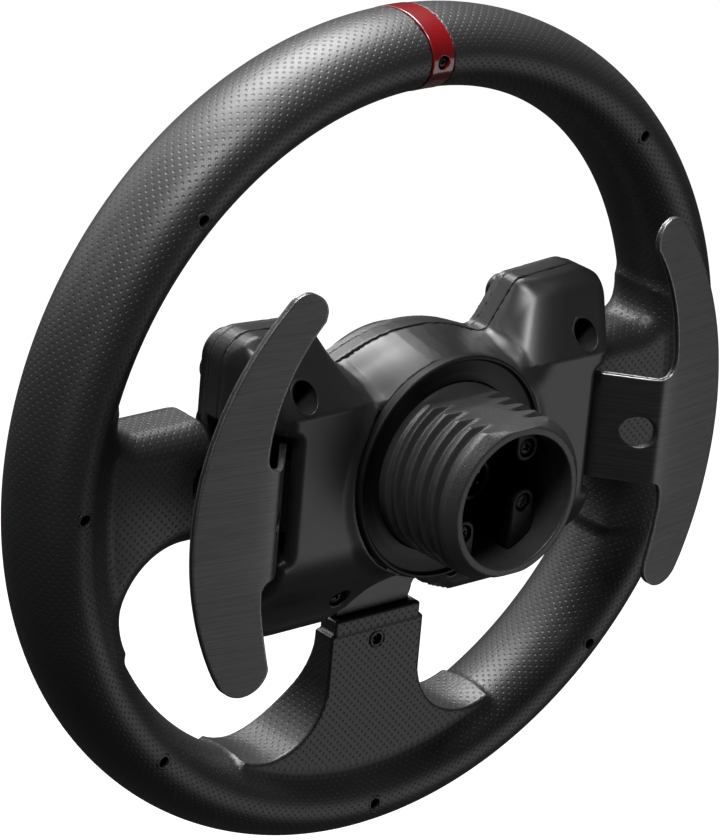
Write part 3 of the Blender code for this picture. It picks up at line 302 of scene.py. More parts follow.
# %% Turned helper
def grid_faces(rows, columns, wrap_rows=False, wrap_columns=True):
    """Squares between the points of a rows by columns grid, wrapped round where asked."""
    r = np.arange(rows if wrap_rows else rows - 1)[:, None]
    c = np.arange(columns if wrap_columns else columns - 1)[None, :]
    r2, c2 = (r + 1) % rows, (c + 1) % columns
    quads = [r * columns + c, r * columns + c2, r2 * columns + c2, r2 * columns + c]
    return np.stack([np.broadcast_to(q, (len(r), c.shape[1])) for q in quads], -1).reshape(-1, 4)


def soften(profile, radius, count=4, closed=False):
    """A profile of (radius, y) corners with each corner turned on a small arc."""
    points = [np.array(p, float) for p in profile]
    out = []
    n = len(points)
    for i, p in enumerate(points):
        if not closed and i in (0, n - 1):
            out.append(p)
            continue
        a, b = points[i - 1] - p, points[(i + 1) % n] - p
        la, lb = np.linalg.norm(a), np.linalg.norm(b)
        reach = min(radius, la * 0.45, lb * 0.45)
        start, end = p + a / la * reach, p + b / lb * reach
        for t in np.linspace(0, 1, count + 1):
            out.append((1 - t) ** 2 * start + 2 * t * (1 - t) * p + t * t * end)
    return np.array(out)


def turned(profile, columns, cx=0.0, cz=0.0, closed=False):
    """A profile of (radius, y) carried round Y.

    Point (r, y) at turn t is at (cx + r sin t, y, cz + r cos t). An open profile starts and
    ends at radius zero, where a short first row closes it.
    """
    profile = np.asarray(profile, float)
    t = np.linspace(0, 2 * np.pi, columns, endpoint=False)[None, :]
    r, y = profile[:, :1], profile[:, 1:]
    r = np.maximum(r, 1e-4)
    points = np.stack([cx + r * np.sin(t), np.broadcast_to(y, (len(r), columns)), cz + r * np.cos(t)], -1)
    return points.reshape(-1, 3), grid_faces(len(r), columns, wrap_rows=closed)


def merge(parts):
    """Several sets of points and faces as one."""
    starts = np.cumsum([0] + [len(points) for points, _ in parts])
    return (np.concatenate([points for points, _ in parts]),
            np.concatenate([faces + start for (_, faces), start in zip(parts, starts)]))


# %% [markdown]
# ## Node expressions
# A shader is arithmetic on sockets. A small class wraps a socket so that plain Python operators
# add the Math nodes, and one method adds any other node. Colours are mixed, never added.

# %% Shader helper
class Value:
    """A socket that takes part in Python arithmetic."""

    def __init__(self, tree, socket):
        self.tree = tree
        self.socket = socket

    def node(self, kind, inputs=(), output=0, **settings):
        """Adds a node, sets it, joins or sets its sockets, and gives the output asked for."""
        made = self.tree.nodes.new(kind)
        for key, value in settings.items():
            setattr(made, key, value)
        for key, value in dict(inputs).items():
            target = made.inputs[key]
            if isinstance(value, Value):
                self.tree.links.new(value.socket, target)
            else:
                target.default_value = value
        return Value(self.tree, made.outputs[output])

    def math(self, operation, *others):
        return self.node("ShaderNodeMath", enumerate((self,) + others), operation=operation)

    def __add__(self, other):
        return self.math("ADD", other)

    __radd__ = __add__

    def __mul__(self, other):
        return self.math("MULTIPLY", other)

    __rmul__ = __mul__

    def __sub__(self, other):
        return self.math("SUBTRACT", other)

    def __rsub__(self, other):
        return self * -1 + other

    def __truediv__(self, other):
        return self.math("DIVIDE", other)

    def fract(self):
        return self.math("FRACT")

    def smooth(self, low, high):
        """0 below low, 1 above high, and a soft step between."""
        return self.node("ShaderNodeMapRange", {0: self, 1: low, 2: high, 3: 0.0, 4: 1.0},
                         interpolation_type="SMOOTHSTEP")

    def noise(self, scale, detail=3.0, rough=0.5):
        """Noise from 0 to 1 on this vector."""
        return self.node("ShaderNodeTexNoise", {"Vector": self, "Scale": scale, "Detail": detail,
                                                "Roughness": rough})

    def stretched(self, scale):
        """This vector scaled along each axis."""
        return self.node("ShaderNodeMapping", {"Vector": self, "Scale": scale})

    def mix(self, low, high):
        """A colour between two, by this value."""
        return self.node("ShaderNodeMix", {"Factor": self, 6: (*low, 1), 7: (*high, 1)}, 2,
                         data_type="RGBA")

    def parts(self):
        """The three parts of this vector."""
        split = self.tree.nodes.new("ShaderNodeSeparateXYZ")
        self.tree.links.new(self.socket, split.inputs[0])
        return [Value(self.tree, out) for out in split.outputs]


def shader(name, colour, roughness, metallic=0.0, coat=0.0, specular=0.5):
    """A Principled material, its links, and the object's coordinates in millimetres."""
    made = bpy.data.materials.new(name)
    made.use_nodes = True
    tree = made.node_tree
    surface = tree.nodes["Principled BSDF"]
    surface.inputs["Base Color"].default_value = (*colour, 1)
    surface.inputs["Roughness"].default_value = roughness
    surface.inputs["Metallic"].default_value = metallic
    surface.inputs["Coat Weight"].default_value = coat
    surface.inputs["Coat Roughness"].default_value = 0.06
    surface.inputs["Specular IOR Level"].default_value = specular
    coordinates = tree.nodes.new("ShaderNodeTexCoord")
    place = Value(tree, coordinates.outputs["Object"])
    place = place.node("ShaderNodeMapping", {"Vector": place, "Location": (0, TUBE_MOUTH, 0),
                                             "Scale": (1 / MM, 1 / MM, 1 / MM)})
    MATERIALS[name] = made
    return surface, place


def link(surface, **sockets):
    """Joins values to the surface's sockets by name."""
    for key, value in sockets.items():
        value.tree.links.new(value.socket, surface.inputs[key.replace("_", " ")])


def bump(surface, height, distance, strength=1.0):
    """Raises the surface by a height in millimetres."""
    normal = height.node("ShaderNodeBump", {"Height": height, "Distance": distance * MM,
                                            "Strength": strength})
    link(surface, Normal=normal)


# %% [markdown]
# ## Finishes
# The rubber has a diamond grid of round dimples. On the rim the grid follows the turn about the
# axis and the turn about the section. On the arms and the cover it follows X and Z, or Y and
# one of those where a face looks sideways or up. The grid's turn count is whole, so that it
# meets itself. Each dimple is a soft bowl in a bump.

# %% Rubber
GRIP_CENTRE, GRIP_A, GRIP_B = 127.3, 12.7, 18.3
SECTION_RADIUS = 15.7           # of a circle about as long round as the grip's section
PITCH = 2.05
DIAGONAL = PITCH * 1.414
DIMPLE, DIMPLE_DEPTH = 0.27, 0.10       # a dimple's radius in diagonals, and its depth


def dimples(u, v):
    """Depth from 0 to 1 of round bowls on the diamond grid of two lengths in diagonals."""
    a, b = (u + v).fract() - 0.5, (u - v).fract() - 0.5
    apart = (a * a + b * b).math("SQRT")
    return 1 - apart.smooth(DIMPLE * 0.35, DIMPLE)


def rubber(name):
    """Black rubber with fine grain and the grid of dimples."""
    surface, place = shader(name, (0.018, 0.018, 0.019), 0.42)
    x, y, z = place.parts()
    ring = (x * x + z * z).math("SQRT") - GRIP_CENTRE
    turn = x.math("ARCTAN2", z)
    section = (y / GRIP_B).math("ARCTAN2", ring / GRIP_A)
    around = round(2 * math.pi * GRIP_CENTRE / DIAGONAL)
    across = round(2 * math.pi * SECTION_RADIUS / DIAGONAL)
    on_rim = dimples(turn * (around / (2 * math.pi)), section * (across / (2 * math.pi)))
    u, v, w = (part / DIAGONAL for part in (x, y, z))
    on_flat = dimples(u, w)
    for attribute, over in (("facing_z", dimples(u, v)), ("facing_x", dimples(w, v))):
        facing = place.node("ShaderNodeAttribute", output=2, attribute_name=attribute)
        on_flat = on_flat + (over - on_flat) * facing
    flat = 1 - ring.smooth(-15.5, -12.0)
    depth = on_rim + (on_flat - on_rim) * flat
    grain = place.noise(2.2, 4.0, 0.6)
    tone = place.noise(0.05, 2.0)
    link(surface, Base_Color=(tone * 0.6 + grain * 0.4).mix((0.010, 0.010, 0.0105), (0.020, 0.020, 0.021)))
    link(surface, Roughness=grain * 0.10 + depth * 0.06 + 0.38)
    bump(surface, grain * 0.02 - depth * DIMPLE_DEPTH, 1.0)


rubber("grip_rubber")


# %% Plastic, nylon and metal
def grained(name, dark, light, rough, grain_scale, grain_depth, coat=0.0, spread=0.1,
            specular=0.5):
    """A moulded or painted finish: fine grain in a bump, and a slow drift of tone."""
    surface, place = shader(name, dark, rough, coat=coat, specular=specular)
    grain = place.noise(grain_scale, 4.0, 0.6)
    drift = place.noise(0.06, 3.0)
    link(surface, Base_Color=(drift * 0.7 + grain * 0.3).mix(dark, light))
    link(surface, Roughness=(grain + drift - 1) * spread + rough)
    if grain_depth:
        bump(surface, grain, grain_depth)


def brushed(name, dark, light, rough, streak, metallic=1.0):
    """Metal brushed along one direction: noise stretched into long fine streaks."""
    surface, place = shader(name, dark, rough, metallic)
    lines = place.stretched(streak).noise(1.0, 5.0, 0.65)
    drift = place.noise(0.05, 2.0)
    link(surface, Base_Color=(lines * 0.6 + drift * 0.4).mix(dark, light))
    link(surface, Roughness=lines * 0.22 + rough - 0.11)
    bump(surface, lines, 0.015)


def paddle_finish():
    """Dark metal brushed across the blade; the broken edges are polished smoother, and their lighter colour
    is a painted highlight.
    """
    surface, place = shader("paddle_metal", (0.06, 0.06, 0.06), 0.36, 0.85)
    lines = place.stretched((0.03, 0.03, 3.2)).noise(1.0, 6.0, 0.7)
    fine = place.stretched((0.12, 0.12, 7.0)).noise(1.0, 3.0, 0.7)
    edge = place.node("ShaderNodeAttribute", output=2, attribute_name="edge")
    tone = (lines * 0.7 + fine * 0.5).smooth(0.35, 0.85)
    flat = tone.mix((0.050, 0.050, 0.051), (0.115, 0.115, 0.117))
    # Painted highlight: the broken edges take this lighter colour.
    edge_highlight = tone.mix((0.22, 0.22, 0.22), (0.34, 0.34, 0.34))
    colour = edge.node("ShaderNodeMix", {"Factor": edge, 6: flat, 7: edge_highlight}, 2, data_type="RGBA")
    link(surface, Base_Color=colour)
    link(surface, Roughness=lines * 0.20 + 0.30 - edge * 0.12)
    bump(surface, lines * 0.6 + fine * 0.4, 0.02)


grained("housing_plastic", (0.013, 0.013, 0.014), (0.019, 0.019, 0.020), 0.36, 5.0, 0.010, spread=0.06)
grained("tube_nylon", (0.014, 0.014, 0.0145), (0.042, 0.042, 0.043), 0.40, 1.7, 0.13, spread=0.22)
# The gasket finish also goes on the insert deep in the bore. It is darker than the insert's own plastic, as
# painted shade for the shadow in there.
grained("gasket", (0.003, 0.003, 0.003), (0.005, 0.005, 0.005), 0.5, 3.0, 0.02, specular=0.3)
grained("gloss_black", (0.006, 0.006, 0.006), (0.009, 0.009, 0.009), 0.30, 2.0, 0.0, coat=0.15, spread=0.04)
grained("board", (0.008, 0.06, 0.02), (0.014, 0.10, 0.035), 0.4, 1.5, 0.02)
grained("band_red", (0.11, 0.0006, 0.002), (0.15, 0.001, 0.003), 0.24, 2.0, 0.0, coat=0.9, spread=0.05)
grained("button_white", (0.62, 0.62, 0.60), (0.70, 0.70, 0.68), 0.32, 3.0, 0.004, coat=0.3)
grained("button_graphite", (0.020, 0.020, 0.022), (0.032, 0.032, 0.035), 0.3, 3.0, 0.004, coat=0.3)
grained("button_black", (0.008, 0.008, 0.008), (0.014, 0.014, 0.014), 0.3, 3.0, 0.004, coat=0.3)
paddle_finish()
brushed("plate_metal", (0.05, 0.05, 0.051), (0.085, 0.085, 0.087), 0.42, (0.05, 1.0, 2.4), 0.8)
brushed("steel", (0.38, 0.38, 0.39), (0.5, 0.5, 0.51), 0.32, (0.6, 0.6, 3.0))
brushed("screw_steel", (0.03, 0.03, 0.031), (0.06, 0.06, 0.062), 0.38, (1.5, 1.5, 1.5))
print("finishes:", sorted(MATERIALS))

# %% Finishes for the CAD nodes that stay
SLOTS = {entry["node"]: entry["material_slot"] for entry in frame["record"]["subparts"]}
for node_name, node in NODES.items():
    node.data.materials.clear()
    node.data.materials.append(MATERIALS[SLOTS[node_name]])
    node.data.shade_smooth()
    node.data.set_sharp_from_angle(angle=math.radians(32))

# %% [markdown]
# ## The grip
# The rim is an oval section turned about the axis. Two arms and a lower cover run into it. An
# arm's outline already has its two fillets, a tight one above and a wide one below; the field
# adds the soft edge along it. The grip is moulded in two halves, so the net is laid twice, and
# the seam is the gap between them.

# %% Grip outlines
INNER = GRIP_CENTRE - GRIP_A
SEAM = 0.03                     # each half of the grip stops this far from the middle
ARM_TOP, ARM_LOW, TOP_FILLET, LOW_FILLET = 19.0, -21.0, 9.0, 22.0
COVER_HALF, COVER_TOP, COVER_FILLET, COVER_BACK = 19.4, -65.6, 22.0, 11.8
RIM_WELL, RIM_WELL_FLOOR, COVER_SCREW_Z = 1.85, 12.3, -70.4
STOP_X = 73.0                   # where the paddles' soft stops stand


def arm_points(root):
    """The right-hand arm's outline, from its root at x to inside the rim."""
    x_top = math.sqrt((INNER - TOP_FILLET) ** 2 - (ARM_TOP + TOP_FILLET) ** 2)
    x_low = math.sqrt((INNER - LOW_FILLET) ** 2 - (ARM_LOW - LOW_FILLET) ** 2)
    meets_top = math.atan2(ARM_TOP + TOP_FILLET, x_top)
    meets_low = math.atan2(ARM_LOW - LOW_FILLET, x_low)
    top = arc(x_top, ARM_TOP + TOP_FILLET, TOP_FILLET, -90, math.degrees(meets_top), 30)
    low = arc(x_low, ARM_LOW - LOW_FILLET, LOW_FILLET, math.degrees(meets_low), 90, 48)
    back = arc(0, 0, GRIP_CENTRE, math.degrees(meets_top), math.degrees(meets_low), 12)
    return [(root, ARM_TOP)] + top + back + low + [(root, ARM_LOW)]


def cover_points():
    """The lower cover's outline, from its top edge down to inside the rim."""
    side = COVER_HALF + COVER_FILLET
    depth = math.sqrt((INNER - COVER_FILLET) ** 2 - side ** 2)
    meets = math.degrees(math.atan2(-depth, side)) % 360
    flare = arc(side, -depth, COVER_FILLET, 180, meets, 52)
    half = [(COVER_HALF, COVER_TOP)] + flare + arc(0, 0, GRIP_CENTRE, meets, 272, 8)
    return half + [(-x, z) for x, z in reversed(half)]


ARM_FRONT = arm_points(76.3)
ARM_BACK = arm_points(65.0)
COVER = cover_points()


def oval_field(x, y, z, grow=0.0):
    """Distance to the rim's oval section, grown by an amount."""
    ring, a, b = np.hypot(x, z) - GRIP_CENTRE, GRIP_A + grow, GRIP_B + grow
    reach = np.hypot(ring / a, y / b) + 1e-9
    return reach * (reach - 1) / (np.hypot(ring / a ** 2, y / b ** 2) + 1e-9)


def grip(x, y, z, arm):
    """Field of the whole grip, before its halves are parted."""
    side = outline_field(np.abs(x), z, arm)
    body = join(oval_field(x, y, z), common(side, slab(y, -13.5, 13.5), 9.0), 5.0)
    rise = np.clip((z + 106) / 38, 0, 1)
    front = -COVER_BACK + 14.6 * rise * rise * (3 - 2 * rise)
    cover = common(outline_field(x, z, COVER), np.maximum(y - COVER_BACK, front - y), 1.0)
    body = join(body, cover, 3.5)
    collar = np.maximum(slab(x, -17.8, 17.8), slab(z, COVER_TOP - 6, COVER_TOP + 4.8))
    collar = common(collar, slab(y, 3.4, 11.5), 0.8)
    return np.minimum(body, collar)


def band_groove(x, y, z):
    """The shallow channel for the band at 12 o'clock."""
    outside = -oval_field(x, y, z, -1.5)
    return np.maximum(np.maximum(outside, np.abs(x) - 4.5), -z)


def rim_back(x, y, z):
    """Field of the grip's rear half, with its screw wells, slots and recesses."""
    body = grip(x, y, z, ARM_BACK)
    body = without(body, band_groove(x, y, z), 0.3)
    body = np.maximum(body, SEAM - y)
    plate = np.maximum(np.abs(z) - 10.3, y - 8.3)
    body = np.maximum(body, -np.maximum(plate, np.abs(x) - 120))
    near_hub = np.maximum(np.abs(x) - 76.3, slab(z, -24, 24))
    bed = np.minimum(y - 8.6, -slab(z, -18.2, 12))
    body = without(body, np.maximum(near_hub, bed), 0.6)
    lower = np.maximum(np.maximum(np.abs(x) - 16.1, slab(y, 4.9, 8.3)), z + 56)
    body = np.maximum(body, -lower)
    turn = np.arctan2(x, z) + np.pi / 8
    turn = np.mod(turn, np.pi / 4) - np.pi / 8
    radius = np.hypot(x, z)
    well = np.hypot(radius * np.cos(turn) - GRIP_CENTRE, radius * np.sin(turn)) - 2.35
    body = np.maximum(body, -np.maximum(well, RIM_WELL_FLOOR - y))
    body = np.maximum(body, -np.maximum(rod(x, z, 0, COVER_SCREW_Z, 2.5), 8 - y))
    stop = np.maximum(rod(np.abs(x), z, STOP_X, 0, 9.3), 8 - y)
    return without(body, stop, 0.4)


def rim_front(x, y, z):
    """Field of the grip's front half."""
    body = grip(x, y, z, ARM_FRONT)
    body = without(body, band_groove(x, y, z), 0.3)
    return np.maximum(body, y + SEAM)


# %% Lay the net over both halves
GRIP_CELL = 1.03
edge = GRIP_CENTRE + GRIP_A + 2
halves = (("back", rim_back, ARM_BACK, SEAM - 1.5 * GRIP_CELL, 20.0, SEAM),
          ("front", rim_front, ARM_FRONT, -SEAM - 21.5 * GRIP_CELL, 1.6 * GRIP_CELL, -SEAM))
for label, field, arm, y_low, y_high, at in halves:
    crease = (lambda x, y, z: grip(x, y, z, arm), lambda x, y, z: y - at + 0 * x, 0.0)
    p, f, n = net(field, (-edge, y_low, -edge), (edge, y_high, edge), GRIP_CELL, (crease,))
    made = piece(f"grip_{label}", p, f, "grip_rubber", normals=n, hides=(f"rim_{label}",))
    for axis, name in ((0, "facing_x"), (2, "facing_z")):
        facing = np.clip((np.abs(n[:, axis]) - 0.6) / 0.12, 0, 1).astype(np.float32)
        made.data.attributes.new(name, "FLOAT", "POINT").data.foreach_set("value", facing)

# %% [markdown]
# ## The housing
# The hub's back shell is one moulding: a flat plate, two ears that slope away above a crisp
# crease, a chin that slopes away below a soft one, and a low dome round the tube. Between the
# dome and each ear the surface dips in a soft valley. Each of these is a plane or a cone, and
# the fillets between them differ, so each join names its own radius.

# %% Housing outline
PARTING, WALL, HOUSING_BACK = 14.0, 2.4, 37.5
NOTCH_X, NOTCH_HALF, EAR_X, EAR_Z, CHIN_X, CHIN_Z = 62.3, 20.2, 57.9, 32.7, 24.5, -47.0
EAR_WELL, EAR_FLOOR, CHIN_WELL, CHIN_FLOOR = 4.5, 18.0, 3.2, 15.8
EAR_FOLD, EAR_FALL, CHIN_FOLD, CHIN_FALL = 27.2, 0.69, -28.0, 0.97
DOME_RADIUS, DOME_TURN, SHOULDER_X = 62, math.radians(21), 31.8
DOME_APEX = 39.4 + DOME_RADIUS * (1 / math.cos(DOME_TURN) - 1)
SHOULDER_Z = DOME_APEX - SHOULDER_X * math.tan(DOME_TURN)


def mirrored(half):
    """An outline from its right half, listed clockwise from the top; its corners are turned."""
    return rounded(half + [(-x, z, r) for x, z, r in reversed(half) if x > 0])


HUB = mirrored([(0, DOME_APEX, DOME_RADIUS), (SHOULDER_X, SHOULDER_Z, 3.5), (43.0, 47.7, 5),
                (76.0, 49.8, 10), (76, 21.2, 1.5), (NOTCH_X, NOTCH_HALF, 1), (NOTCH_X, -NOTCH_HALF, 1),
                (66, -21.2, 2), (66, -58.3, 18), (26.6, -58.3, 4), (17.6, -54.3, 0.5),
                (11, -47.6, 12), (0, -43.2, 20)])


def plane(x, y, z, point, normal):
    """Distance to a plane through a point, positive on the side that its normal points to."""
    length = math.sqrt(sum(c * c for c in normal))
    parts = ((x - point[0]) * normal[0], (y - point[1]) * normal[1], (z - point[2]) * normal[2])
    return (parts[0] + parts[1] + parts[2]) / length


def ear_plane(x, y, z):
    """Distance to the slope above the ears' crease."""
    return plane(x, y, z, (0, HOUSING_BACK, EAR_FOLD), (0, 1, EAR_FALL))


def chin_plane(x, y, z):
    """Distance to the slope below the chin's soft fold."""
    return plane(x, y, z, (0, HOUSING_BACK, CHIN_FOLD), (0, 1, -CHIN_FALL))


def housing(x, y, z):
    """Field of the closed housing, from the plate back."""
    side = np.abs(x)
    outline = outline_field(x, z, HUB)
    edge = plane(side, y, z, (65.0, HOUSING_BACK, 0), (1.64, 1, 0))
    block = common(y - HOUSING_BACK, chin_plane(side, y, z), 7.0)
    block = common(common(block, ear_plane(side, y, z), 0.4), edge, 3.0)
    inner = plane(side, y, z, (32.5, 12.0, 34.8), (-1.0, 0.16, 0.72))
    upper = plane(side, y, z, (0, HOUSING_BACK, 25.5), (0, 0.25, 1))
    block = common(block, np.minimum(inner, upper), 11.0)
    radius = np.hypot(x, z)
    rise = np.clip((z + 8) / 24, 0, 1)
    flare = 0.55 * rise * rise * (3 - 2 * rise)
    cone = (radius - 38.5 - flare * (35.0 - y)) / np.sqrt(1 + flare * flare)
    cone = common(cone, y - 36.9, 1.6)
    base = y - 15.5
    body = join(join(block, cone, 5.0), base, 7.0)
    over_dome = np.clip((34 - side) / 8, 0, 1) * np.clip((z - 12) / 10, 0, 1)
    return common(body, outline, 4.2 + 8.8 * over_dome)


def housing_back(x, y, z):
    """Field of the back shell: walls, wells, windows, collar seat and tube hole."""
    form = housing(x, y, z)
    side = np.abs(x)
    radius = np.hypot(x, z)
    posts = np.minimum(rod(side, z, EAR_X, EAR_Z, 6.8), rod(side, z, CHIN_X, CHIN_Z, 5.4))
    hollow = np.maximum(form + 1.6 * WALL, -posts)
    shell = np.maximum(form, -hollow)
    shell = common(shell, PARTING + 0.15 - y, 0.35)
    shell = without(shell, np.maximum(radius - 37.7, 36.0 - y), 1.2)
    shell = np.maximum(shell, 28.3 - radius)
    for cx, cz, r, floor, hole in ((EAR_X, EAR_Z, EAR_WELL, EAR_FLOOR, 2.2),
                                   (CHIN_X, CHIN_Z, CHIN_WELL, CHIN_FLOOR, 1.6)):
        shell = np.maximum(shell, -np.maximum(rod(side, z, cx, cz, r + 0.35), floor - y))
        shell = np.maximum(shell, -rod(side, z, cx, cz, hole))
    window = np.maximum(np.maximum(slab(side, 56.3, 68.3), slab(y, 19.0, 34.3)), np.abs(z) - 19.5)
    return without(shell, window, 0.4)


def housing_front(x, y, z):
    """Field of the front shell, a frame between the plate and the back shell."""
    outline = outline_field(x, z, HUB)
    frame_field = np.maximum(outline, -(outline + WALL))
    frame_field = common(frame_field, slab(y, 8.3, PARTING - 0.15), 0.4)
    return common(frame_field, chin_plane(x, y, z), 0.4)


# %% Lay the net over the housing
HUB_CELL = 0.8
fold = (lambda x, y, z: y - HOUSING_BACK + 0 * x, ear_plane, 1.0)
for label, field, y_low, y_high in (("back", housing_back, 13.0, 38.8), ("front", housing_front, 7.0, 15.0)):
    p, f, n = net(field, (-78, y_low, -60), (78, y_high, 51), HUB_CELL, (fold,))
    piece(f"hub_shell_{label}", p, f, "housing_plastic", normals=n, hides=(f"housing_{label}",))

# %% [markdown]
# ## The spoke plate
# One flat plate carries everything. Its outline is the hub's own, a little smaller, with three
# spokes that run into the grip. Only its rim shows as a thin bright line in front of the
# housing, and its lower spoke between the housing and the rubber cover. Its edges are broken
# by a small round.

# %% Plate
BUTTONS = ((51.0, 36.0), (66.5, 33.0), (66.5, 16.0))
PAD_X, PAD_Z, DIAL_X, DIAL_Z = -51.0, -28.0, 51.0, -28.0


PLATE_INSET = 0.5
PLATE_CELL = 0.93
PLATE = mirrored([(0, DOME_APEX - PLATE_INSET, DOME_RADIUS - PLATE_INSET),
                  (SHOULDER_X, SHOULDER_Z - PLATE_INSET, 4), (43.3, 47.2, 4.5), (75.5, 49.3, 9.5),
                  (75.5, 9.5, 2), (127, 8.6, 0), (127, -8.6, 0), (68.5, -9.5, 2), (65.5, -57.8, 17.5),
                  (26.8, -57.8, 4), (17.2, -54, 1), (15.3, -61, 0), (15.3, -127, 0)])


def spoke_plate(x, y, z):
    """Field of the plate: its outline between two planes, less the holes for the controls."""
    body = common(outline_field(x, z, PLATE), slab(y, 5.2, 8.0), 0.35)
    for cx, cz in BUTTONS:
        body = np.maximum(body, -rod(np.abs(x), z, cx, cz, 3.7))
    body = np.maximum(body, -rod(x, z, PAD_X, PAD_Z, 4.4))
    return np.maximum(body, -rod(x, z, DIAL_X, DIAL_Z, 3.6))


p, f, n = net(spoke_plate, (-129, 4.3, -129), (129, 8.9, 51), PLATE_CELL)
piece("plate", p, f, "plate_metal", normals=n, hides=("spoke_plate",))

# %% [markdown]
# ## The tube
# The tube is a grid of turn and height. Its thread is a true helix: the radius at a point
# depends on its height less the pitch for each turn. The thread is interrupted: it is cut off
# flat above and below, and a soft clamp on Z does that.

# %% Tube
THREAD_PITCH, THREAD_DEPTH, TUBE_RADIUS, TUBE_FLAT = 6.0, 2.8, 28.0, 24.4


def thread_depth(phase):
    """How far below the crest a point of the thread lies: a narrow land, a steep flank, a
    flat valley and a long flank."""
    across = np.mod(phase, 1.0)
    shape = np.clip(np.minimum((across - 0.20) / 0.14, (1 - across) / 0.36), 0, 1)
    return THREAD_DEPTH * shape * (0.6 + 0.4 * shape * (2 - shape))


def tube_surface(columns):
    """Outside from the flange to the mouth, over the lip, and down the bore."""
    heights = np.concatenate([[8.3], np.linspace(11.8, 38.0, 8), np.arange(38.4, 66.4, 0.22)])
    t = np.linspace(0, 2 * np.pi, columns, endpoint=False)[None, :]
    y = heights[:, None]
    phase = (y - 42.0) / THREAD_PITCH - t / (2 * np.pi)
    depth = thread_depth(phase)
    fade = np.clip((y - 40.0) / 3.0, 0, 1) * np.clip((66.2 - y) / 2.5, 0, 1)
    outside = TUBE_RADIUS - depth * fade * (3 - 2 * fade) * fade
    lip = soften([(28.0, 66.5), (27.6, 67.8), (24.6, 71.0), (22.1, 71.0), (22.1, 66)], 0.7, 5)[1:]
    bore = np.array([(22.1, v) for v in np.linspace(60, 8.3, 12)])
    rest = np.concatenate([lip, bore])
    r = np.concatenate([outside, np.repeat(rest[:, :1], columns, 1)])
    y = np.concatenate([np.repeat(y, columns, 1), np.repeat(rest[:, 1:], columns, 1)])
    x, z = r * np.sin(t), r * np.cos(t)
    over = np.abs(z) - TUBE_FLAT
    soft = TUBE_FLAT + np.where(over > 0.25, 0, np.where(over < -0.25, over, -(over - 0.25) ** 2))
    cut = (r > 22.6) & (y > 38.6)
    z = np.where(cut, np.sign(z) * np.minimum(np.abs(z), soft), z)
    return np.stack([x, y, z], -1).reshape(-1, 3), grid_faces(len(r), columns, wrap_rows=True)


p, f = tube_surface(480)
piece("threaded_tube", p, f, "tube_nylon", hides=("release_tube",))

flange = soften([(34, 8.3), (34, 11.8), (28.1, 11.8), (28.1, 8.3)], 0.4, 3, closed=True)
p, f = turned(flange, 128, closed=True)
piece("tube_flange", p, f, "tube_nylon")

# %% [markdown]
# ## The collar
# A soft black ring seals the tube to the housing. It has a raised outer bead that catches the
# light, and a low inner seat.

# %% Collar
ring = soften([(37.4, 36.3), (37.4, 39.1), (36.9, 39.6), (36.1, 39.6), (35.6, 38.3), (31.5, 37.7),
               (28.3, 37.7), (28.3, 36.3)], 0.45, 5, closed=True)
p, f = turned(ring, 256, closed=True)
piece("collar", p, f, "gasket", hides=("collar_ring",))

# %% [markdown]
# ## Inside the tube
# A round insert closes the bore. Three lugs with round ends stand on it near the wall, each
# with a small screw, and a socket for the electrical connector is in the middle.

# %% Insert
LUGS = ((-10.5, 13.0, 1), (13.0, -11.5, -1), (-11.0, -5.5, -1))
LUG_FACE = 62.0


def insert_field(x, y, z):
    """A disc with three upright tongues, each with a round end, that run to the bore."""
    wall = np.hypot(x, z) - 21.7
    disc = common(wall, slab(y, 40.0, 44.0), 0.4)
    for cx, cz, side in LUGS:
        past = np.minimum((z - cz) * side, 0)
        tongue = np.maximum(np.hypot(x - cx, past) - 4.6, wall)
        shelf = common(tongue, slab(y, 41.0, LUG_FACE), 0.9)
        disc = join(disc, shelf, 1.2)
        disc = without(disc, np.maximum(np.hypot(x - cx, z - cz) - 3.0, LUG_FACE - 1.9 - y), 0.25)
    return disc


# The insert's own plastic is the housing's. The near-black gasket finish on it is painted shade for the deep
# shadow inside the bore.
p, f, n = net(insert_field, (-23, 39, -23), (23, 63.5, 23), 0.6)
piece("insert", p, f, "gasket", slot="housing_plastic", normals=n, hides=("connector_insert",))
socket_ring = soften([(7.0, 44.3), (7.0, 50.0), (5.4, 50.0), (5.4, 46.2), (1e-4, 46.2)], 0.3, 3)
p, f = turned(np.concatenate([[(1e-4, 44.3)], socket_ring]), 64)
piece("socket", p, f, "gloss_black", hides=("connector_socket",))
PINS, PIN_CIRCLE = 5, 3.2
pin = soften([(1e-4, 46.3), (0.5, 46.3), (0.5, 49.4), (1e-4, 49.6)], 0.15, 3)
turns = [2 * math.pi * i / PINS for i in range(PINS)]
pins = [turned(pin, 16, PIN_CIRCLE * math.cos(t), PIN_CIRCLE * math.sin(t)) for t in turns]
piece("socket_pins", *merge(pins), "steel")

# %% [markdown]
# ## Screws
# Every screw is a pan head on a shank, with a cross recess. The recess is two tapered slots.

# %% Screw
def screw_field(head, low, high, shank, end):
    """Field of a screw along Y, from its shank's end to the top of its head."""
    def field(x, y, z):
        radius = np.hypot(x, z)
        dome = np.hypot(radius, (y - high + 2.2 * head)) - 2.2 * head
        top = common(np.maximum(radius - head, low - y), dome, 0.25)
        body = np.minimum(top, np.maximum(radius - shank, slab(y, end, low + 0.2)))
        taper = 0.16 * head - 0.12 * (high - y)
        slot = np.minimum(np.maximum(np.abs(x) - taper, np.abs(z) - 0.62 * head + 0.5 * (high - y)),
                          np.maximum(np.abs(z) - taper, np.abs(x) - 0.62 * head + 0.5 * (high - y)))
        slot = np.maximum(slot, high - 0.75 * (high - low) - y)
        return without(body, slot, 0.06)
    return field


